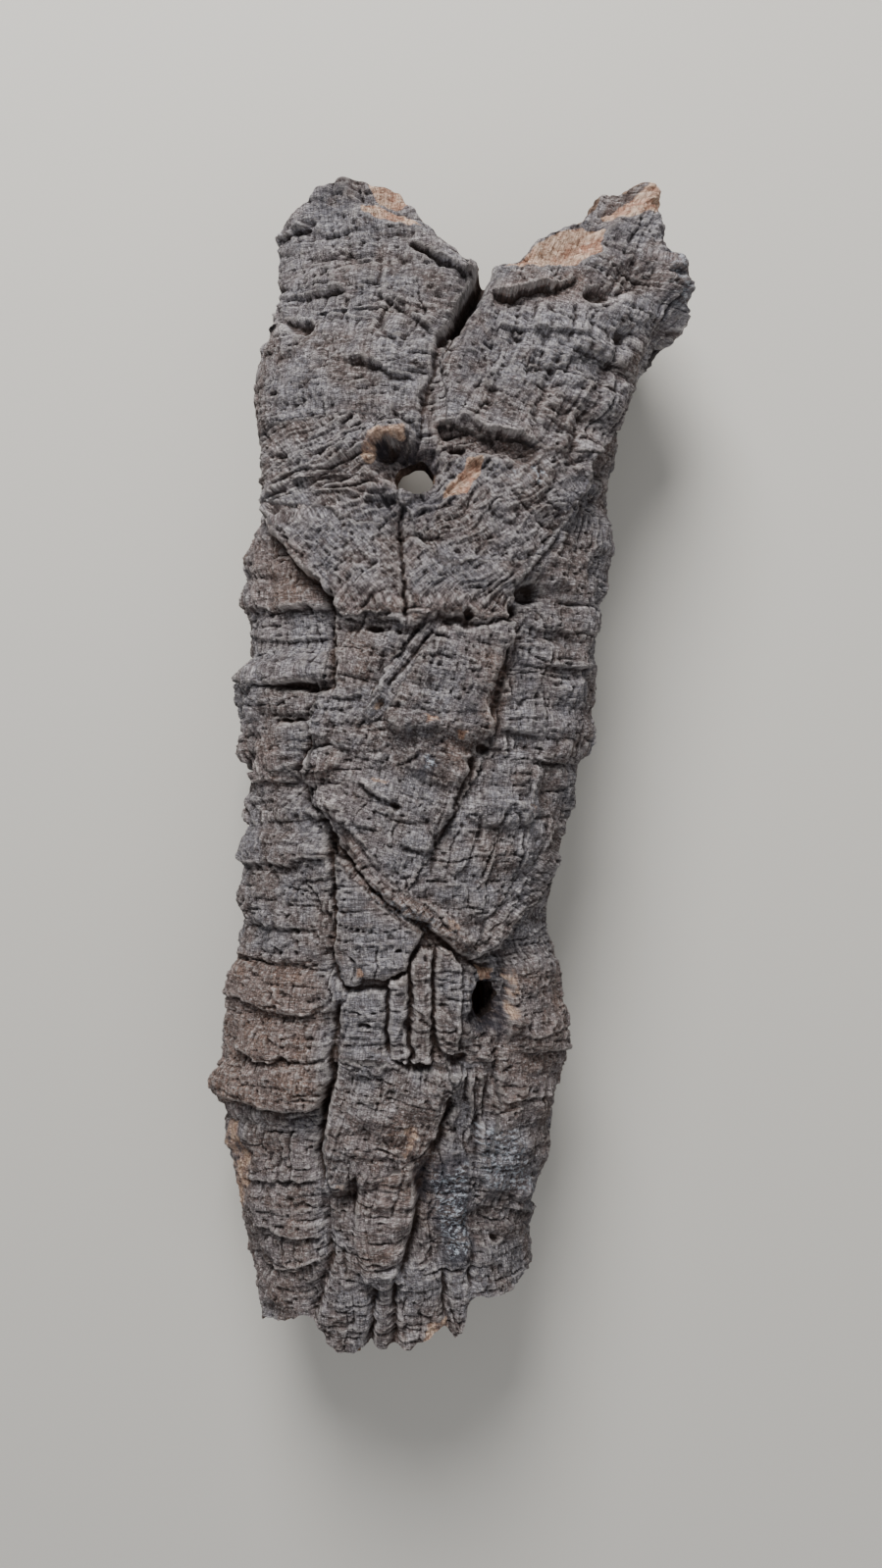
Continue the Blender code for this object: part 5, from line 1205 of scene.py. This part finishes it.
class Shading:
    """Builds the nodes of one material."""

    def __init__(self, name):
        self.material = bpy.data.materials.new(name)
        self.material.use_nodes = True
        self.tree = self.material.node_tree
        self.shader = self.tree.nodes["Principled BSDF"]

    def node(self, kind, **inputs):
        made = self.tree.nodes.new(kind)
        for name, value in inputs.items():
            self.put(made.inputs[name.replace("_", " ")], value)
        return made

    def put(self, socket, value):
        if isinstance(value, bpy.types.NodeSocket):
            self.tree.links.new(value, socket)
        else:
            socket.default_value = value

    def value(self, name):
        """A value that the mesh carries."""
        made = self.tree.nodes.new("ShaderNodeAttribute")
        made.attribute_name = name
        return made.outputs["Fac"]

    def math(self, operation, first, second=0.0, third=0.0):
        made = self.tree.nodes.new("ShaderNodeMath")
        made.operation = operation
        for socket, value in zip(made.inputs, (first, second, third)):
            self.put(socket, value)
        return made.outputs[0]

    def times(self, first, second):
        return self.math("MULTIPLY", first, second)

    def stretched(self, place, across, along, zone=1.0):
        """The place on the grain, divided by the size of what is drawn there."""
        made = self.tree.nodes.new("ShaderNodeVectorMath")
        made.operation = "MULTIPLY"
        self.put(made.inputs[0], place)
        made.inputs[1].default_value = (1.0 / across, 1.0 / along, zone)
        return made.outputs[0]

    def noise(self, place, detail=3.0, roughness=0.55):
        made = self.node("ShaderNodeTexNoise", Vector=place, Scale=1.0, Detail=detail, Roughness=roughness)
        return made.outputs["Fac"]

    def lines(self, value, width):
        """1 along the lines where a noise passes its middle, and 0 beside them."""
        return self.ramp(self.math("ABSOLUTE", self.math("SUBTRACT", value, 0.5)), width, 0.2 * width)

    def ramp(self, value, low, high):
        """0 where the value is low, 1 where it is high."""
        made = self.tree.nodes.new("ShaderNodeMapRange")
        made.interpolation_type = "SMOOTHSTEP"
        self.put(made.inputs["Value"], value)
        made.inputs["From Min"].default_value = low
        made.inputs["From Max"].default_value = high
        return made.outputs["Result"]

    def mix(self, share, first, second):
        made = self.tree.nodes.new("ShaderNodeMix")
        made.data_type = "RGBA"
        self.put(made.inputs["Factor"], share)
        self.put(made.inputs["A"], first)
        self.put(made.inputs["B"], second)
        return made.outputs["Result"]

    def grain_place(self):
        made = self.node("ShaderNodeCombineXYZ", X=self.value("across"), Y=self.value("along"))
        self.put(made.inputs["Z"], self.math("MULTIPLY", self.value("zone"), 7.3))
        return made.outputs[0]

    def bump(self, height, depth_mm):
        made = self.node("ShaderNodeBump", Height=height, Distance=depth_mm * MM, Strength=1.0)
        return made.outputs["Normal"]


def colour(red, green, blue):
    """A colour from what it looks like on a screen, from 0 to 255, as the shader wants it."""
    return tuple((c / 255.0) ** 2.2 for c in (red, green, blue)) + (1.0,)


def outer_material():
    make = Shading("weathered_cork")
    place = make.grain_place()
    patches = make.noise(make.stretched(place, 15, 20), 3)
    blotches = make.noise(make.stretched(place, 5, 5, 2), 4, 0.65)
    flecks = make.noise(make.stretched(place, 2.1, 1.3, 3), 5, 0.75)
    grit = make.noise(make.stretched(place, 0.75, 0.6, 4), 3, 0.7)
    dashes = make.lines(make.noise(make.stretched(place, 6.5, 0.9, 5), 3, 0.6), 0.05)
    fibres = make.lines(make.noise(make.stretched(place, 0.9, 8.0, 6), 3, 0.6), 0.05)

    shade = make.mix(make.ramp(patches, 0.4, 0.6), colour(130, 116, 112), colour(140, 137, 142))
    shade = make.mix(make.times(make.ramp(blotches, 0.47, 0.66), 0.8), shade, colour(172, 165, 166))
    shade = make.mix(make.times(make.ramp(blotches, 0.49, 0.33), 0.8), shade, colour(98, 86, 84))
    # Brown patches: the bark's own tone, and painted shade in the strips under some ledges and overhangs
    shade = make.mix(make.times(make.value("warm"), 0.6), shade, colour(150, 118, 100))
    shade = make.mix(make.times(make.value("pale"), 0.5), shade, colour(180, 177, 184))
    shade = make.mix(make.times(make.ramp(flecks, 0.53, 0.63), 0.62), shade, colour(214, 208, 206))
    shade = make.mix(make.times(make.ramp(flecks, 0.46, 0.36), 0.6), shade, colour(74, 64, 62))
    shade = make.mix(make.times(make.ramp(grit, 0.56, 0.66), 0.55), shade, colour(222, 216, 212))
    shade = make.mix(make.times(make.ramp(grit, 0.44, 0.33), 0.65), shade, colour(54, 47, 46))
    shade = make.mix(make.times(dashes, 0.42), shade, colour(54, 45, 43))
    shade = make.mix(make.times(fibres, 0.42), shade, colour(58, 49, 46))
    # Painted highlight: crests that stand above their surroundings are lightened
    painted_crest_highlight = make.ramp(make.value("hollow"), -0.05, -0.55)
    shade = make.mix(make.times(painted_crest_highlight, 0.3), shade, colour(214, 206, 200))
    # Painted shade: fine cracks and pits lying below their surroundings are darkened
    painted_crack_shade = make.ramp(make.value("hollow"), 0.12, 0.75)
    shade = make.mix(make.times(painted_crack_shade, 0.7), shade, colour(50, 41, 38))
    # Painted shade: the larger furrows, grooves under ledges and hollows of the form are darkened and
    # browned
    painted_furrow_shade = make.ramp(make.value("deep"), 0.5, 4.0)
    shade = make.mix(make.times(painted_furrow_shade, 0.55), shade, colour(78, 60, 50))
    # Dark blue-grey stains broken up by the blotches; on the flank right of the fork's crease this is
    # painted shade
    stain_and_painted_shade = make.times(make.value("stain_and_painted_shade"), make.ramp(blotches, 0.34, 0.6))
    shade = make.mix(make.times(stain_and_painted_shade, 0.82), shade, colour(54, 53, 62))

    raw = make.mix(make.ramp(blotches, 0.36, 0.62), colour(184, 140, 118), colour(222, 190, 166))
    raw = make.mix(make.times(make.ramp(flecks, 0.52, 0.64), 0.7), raw, colour(240, 216, 196))
    raw = make.mix(make.times(make.ramp(flecks, 0.47, 0.36), 0.75), raw, colour(120, 86, 70))
    raw = make.mix(make.times(fibres, 0.5), raw, colour(106, 76, 62))
    fresh = make.math("ADD", make.value("fresh"), make.times(make.math("SUBTRACT", blotches, 0.5), 1.4))
    shade = make.mix(make.ramp(fresh, 0.3, 0.62), shade, raw)
    growth = make.times(make.value("lichen"), make.ramp(flecks, 0.5, 0.57))
    shade = make.mix(growth, shade, colour(210, 218, 228))

    height = make.math("ADD", make.times(flecks, 1.6), make.times(grit, 0.6))
    height = make.math("SUBTRACT", height, make.times(dashes, 0.35))
    height = make.math("SUBTRACT", height, make.times(fibres, 0.35))
    make.put(make.shader.inputs["Normal"], make.bump(height, 1.1))
    make.put(make.shader.inputs["Base Color"], shade)
    roughness = make.node("ShaderNodeMapRange", Value=flecks)
    roughness.inputs["To Min"].default_value = 0.82
    roughness.inputs["To Max"].default_value = 0.98
    make.put(make.shader.inputs["Roughness"], roughness.outputs["Result"])
    make.shader.inputs["Specular IOR Level"].default_value = 0.25
    return make.material


def broken_material():
    """The torn ends and the rims of the holes, where the wall shows its layers."""
    make = Shading("torn_cork")
    place = make.node("ShaderNodeTexCoord").outputs["Object"]
    coarse = make.noise(make.stretched(place, 5 * MM, 5 * MM, 1 / (5 * MM)), 4, 0.65)
    fine = make.noise(make.stretched(place, 1.1 * MM, 1.1 * MM, 1 / (1.1 * MM)), 4, 0.7)
    shade = make.mix(make.ramp(coarse, 0.38, 0.62), colour(84, 68, 60), colour(128, 106, 92))
    shade = make.mix(make.times(make.ramp(fine, 0.48, 0.36), 0.75), shade, colour(52, 41, 36))
    shade = make.mix(make.times(make.ramp(fine, 0.53, 0.66), 0.55), shade, colour(182, 162, 146))
    # The stain patches also darken the torn edges; right of the fork's crease they are painted shade
    shade = make.mix(make.times(make.value("stain_and_painted_shade"), 0.85), shade, colour(44, 38, 38))
    fresh = make.math("ADD", make.value("fresh"), make.times(make.math("SUBTRACT", coarse, 0.5), 1.4))
    shade = make.mix(make.times(make.ramp(fresh, 0.3, 0.7), 0.8), shade, colour(204, 166, 142))
    make.put(make.shader.inputs["Base Color"], shade)
    height = make.math("ADD", fine, make.times(coarse, 1.5))
    make.put(make.shader.inputs["Normal"], make.bump(height, 1.2))
    make.shader.inputs["Roughness"].default_value = 0.95
    make.shader.inputs["Specular IOR Level"].default_value = 0.2
    return make.material


def inner_material():
    """The hollow's own surface, smooth brown with long fibres."""
    make = Shading("inner_bark")
    place = make.node("ShaderNodeTexCoord").outputs["Object"]
    patches = make.noise(make.stretched(place, 18 * MM, 40 * MM, 1 / (18 * MM)), 3)
    fibres = make.noise(make.stretched(place, 1.4 * MM, 26 * MM, 1 / (1.4 * MM)), 4, 0.6)
    shade = make.mix(make.ramp(patches, 0.35, 0.65), colour(108, 78, 58), colour(142, 108, 84))
    shade = make.mix(make.times(make.ramp(fibres, 0.52, 0.3), 0.7), shade, colour(66, 46, 35))
    shade = make.mix(make.times(make.ramp(fibres, 0.55, 0.75), 0.5), shade, colour(172, 140, 112))
    make.put(make.shader.inputs["Base Color"], shade)
    make.put(make.shader.inputs["Normal"], make.bump(fibres, 1.0))
    make.shader.inputs["Roughness"].default_value = 0.85
    make.shader.inputs["Specular IOR Level"].default_value = 0.25
    return make.material


def make_bark():
    points, faces, side, values = bark_surface()
    points, faces, side, values = thinned(mesh_from("whole", points, faces, values, side), TRIANGLES)
    middle = points[faces].mean(axis=1)
    behind = middle[:, 2] < 30.0
    outer, broken, inner = outer_material(), broken_material(), inner_material()
    bands = (("bark_face_foot", -300, -95), ("bark_face_lower", -95, 5), ("bark_face_middle", 5, 100),
             ("bark_face_fork", 100, 300))
    for name, low, high in bands:
        here = (middle[:, 1] > low) & (middle[:, 1] <= high)
        add_piece(name, points, faces[(side == 0) & ~behind & here], values, outer)
    add_piece("bark_back", points, faces[(side == 0) & behind], values, outer)
    add_piece("torn_edges", points, faces[side == 2], values, broken)
    add_piece("hollow_lining", points, faces[side == 1], values, inner)


def make_stage():
    mesh = bpy.data.meshes.new("floor")
    far = 3.0
    mesh.from_pydata([(-far, -far, 0), (far, -far, 0), (far, far, 0), (-far, far, 0)], [], [(0, 1, 2, 3)])
    floor = bpy.data.objects.new("floor", mesh)
    bpy.context.scene.collection.objects.link(floor)
    make = Shading("floor")
    make.shader.inputs["Base Color"].default_value = colour(196, 192, 184)
    make.shader.inputs["Roughness"].default_value = 0.9
    mesh.materials.append(make.material)


def turned_to(place, aim):
    """The rotation that points a light's -Z axis from a place to an aim."""
    return (Vector(aim) - Vector(place)).to_track_quat("-Z", "Y").to_euler()


def add_light(name, place, aim, size, power):
    data = bpy.data.lights.new(name, "AREA")
    data.shape = "DISK"
    data.size = size
    data.energy = power
    light = bpy.data.objects.new(name, data)
    light.location = place
    light.rotation_euler = turned_to(place, aim)
    bpy.context.scene.collection.objects.link(light)


def make_lights():
    world = bpy.data.worlds.new("studio")
    world.use_nodes = True
    world.node_tree.nodes["Background"].inputs["Color"].default_value = (0.92, 0.95, 1.0, 1.0)
    world.node_tree.nodes["Background"].inputs["Strength"].default_value = 0.36
    bpy.context.scene.world = world
    add_light("key", (-0.3, 1.05, 0.85), (0, 0.02, 0.05), 0.7, 31)
    add_light("fill", (0.5, -0.5, 1.2), (0, 0, 0.05), 1.2, 4)


def make_camera():
    data = bpy.data.cameras.new("camera")
    data.sensor_width = 36.0
    data.lens = 27.0
    data.clip_start = 0.01
    camera = bpy.data.objects.new("camera", data)
    camera.location = (PLACE[0] * MM, PLACE[1] * MM, EYE_HEIGHT * MM)
    camera.rotation_euler = (0.0, 0.0, LEAN)
    bpy.context.scene.collection.objects.link(camera)
    bpy.context.scene.camera = camera


make_camera()
make_bark()
make_stage()
make_lights()
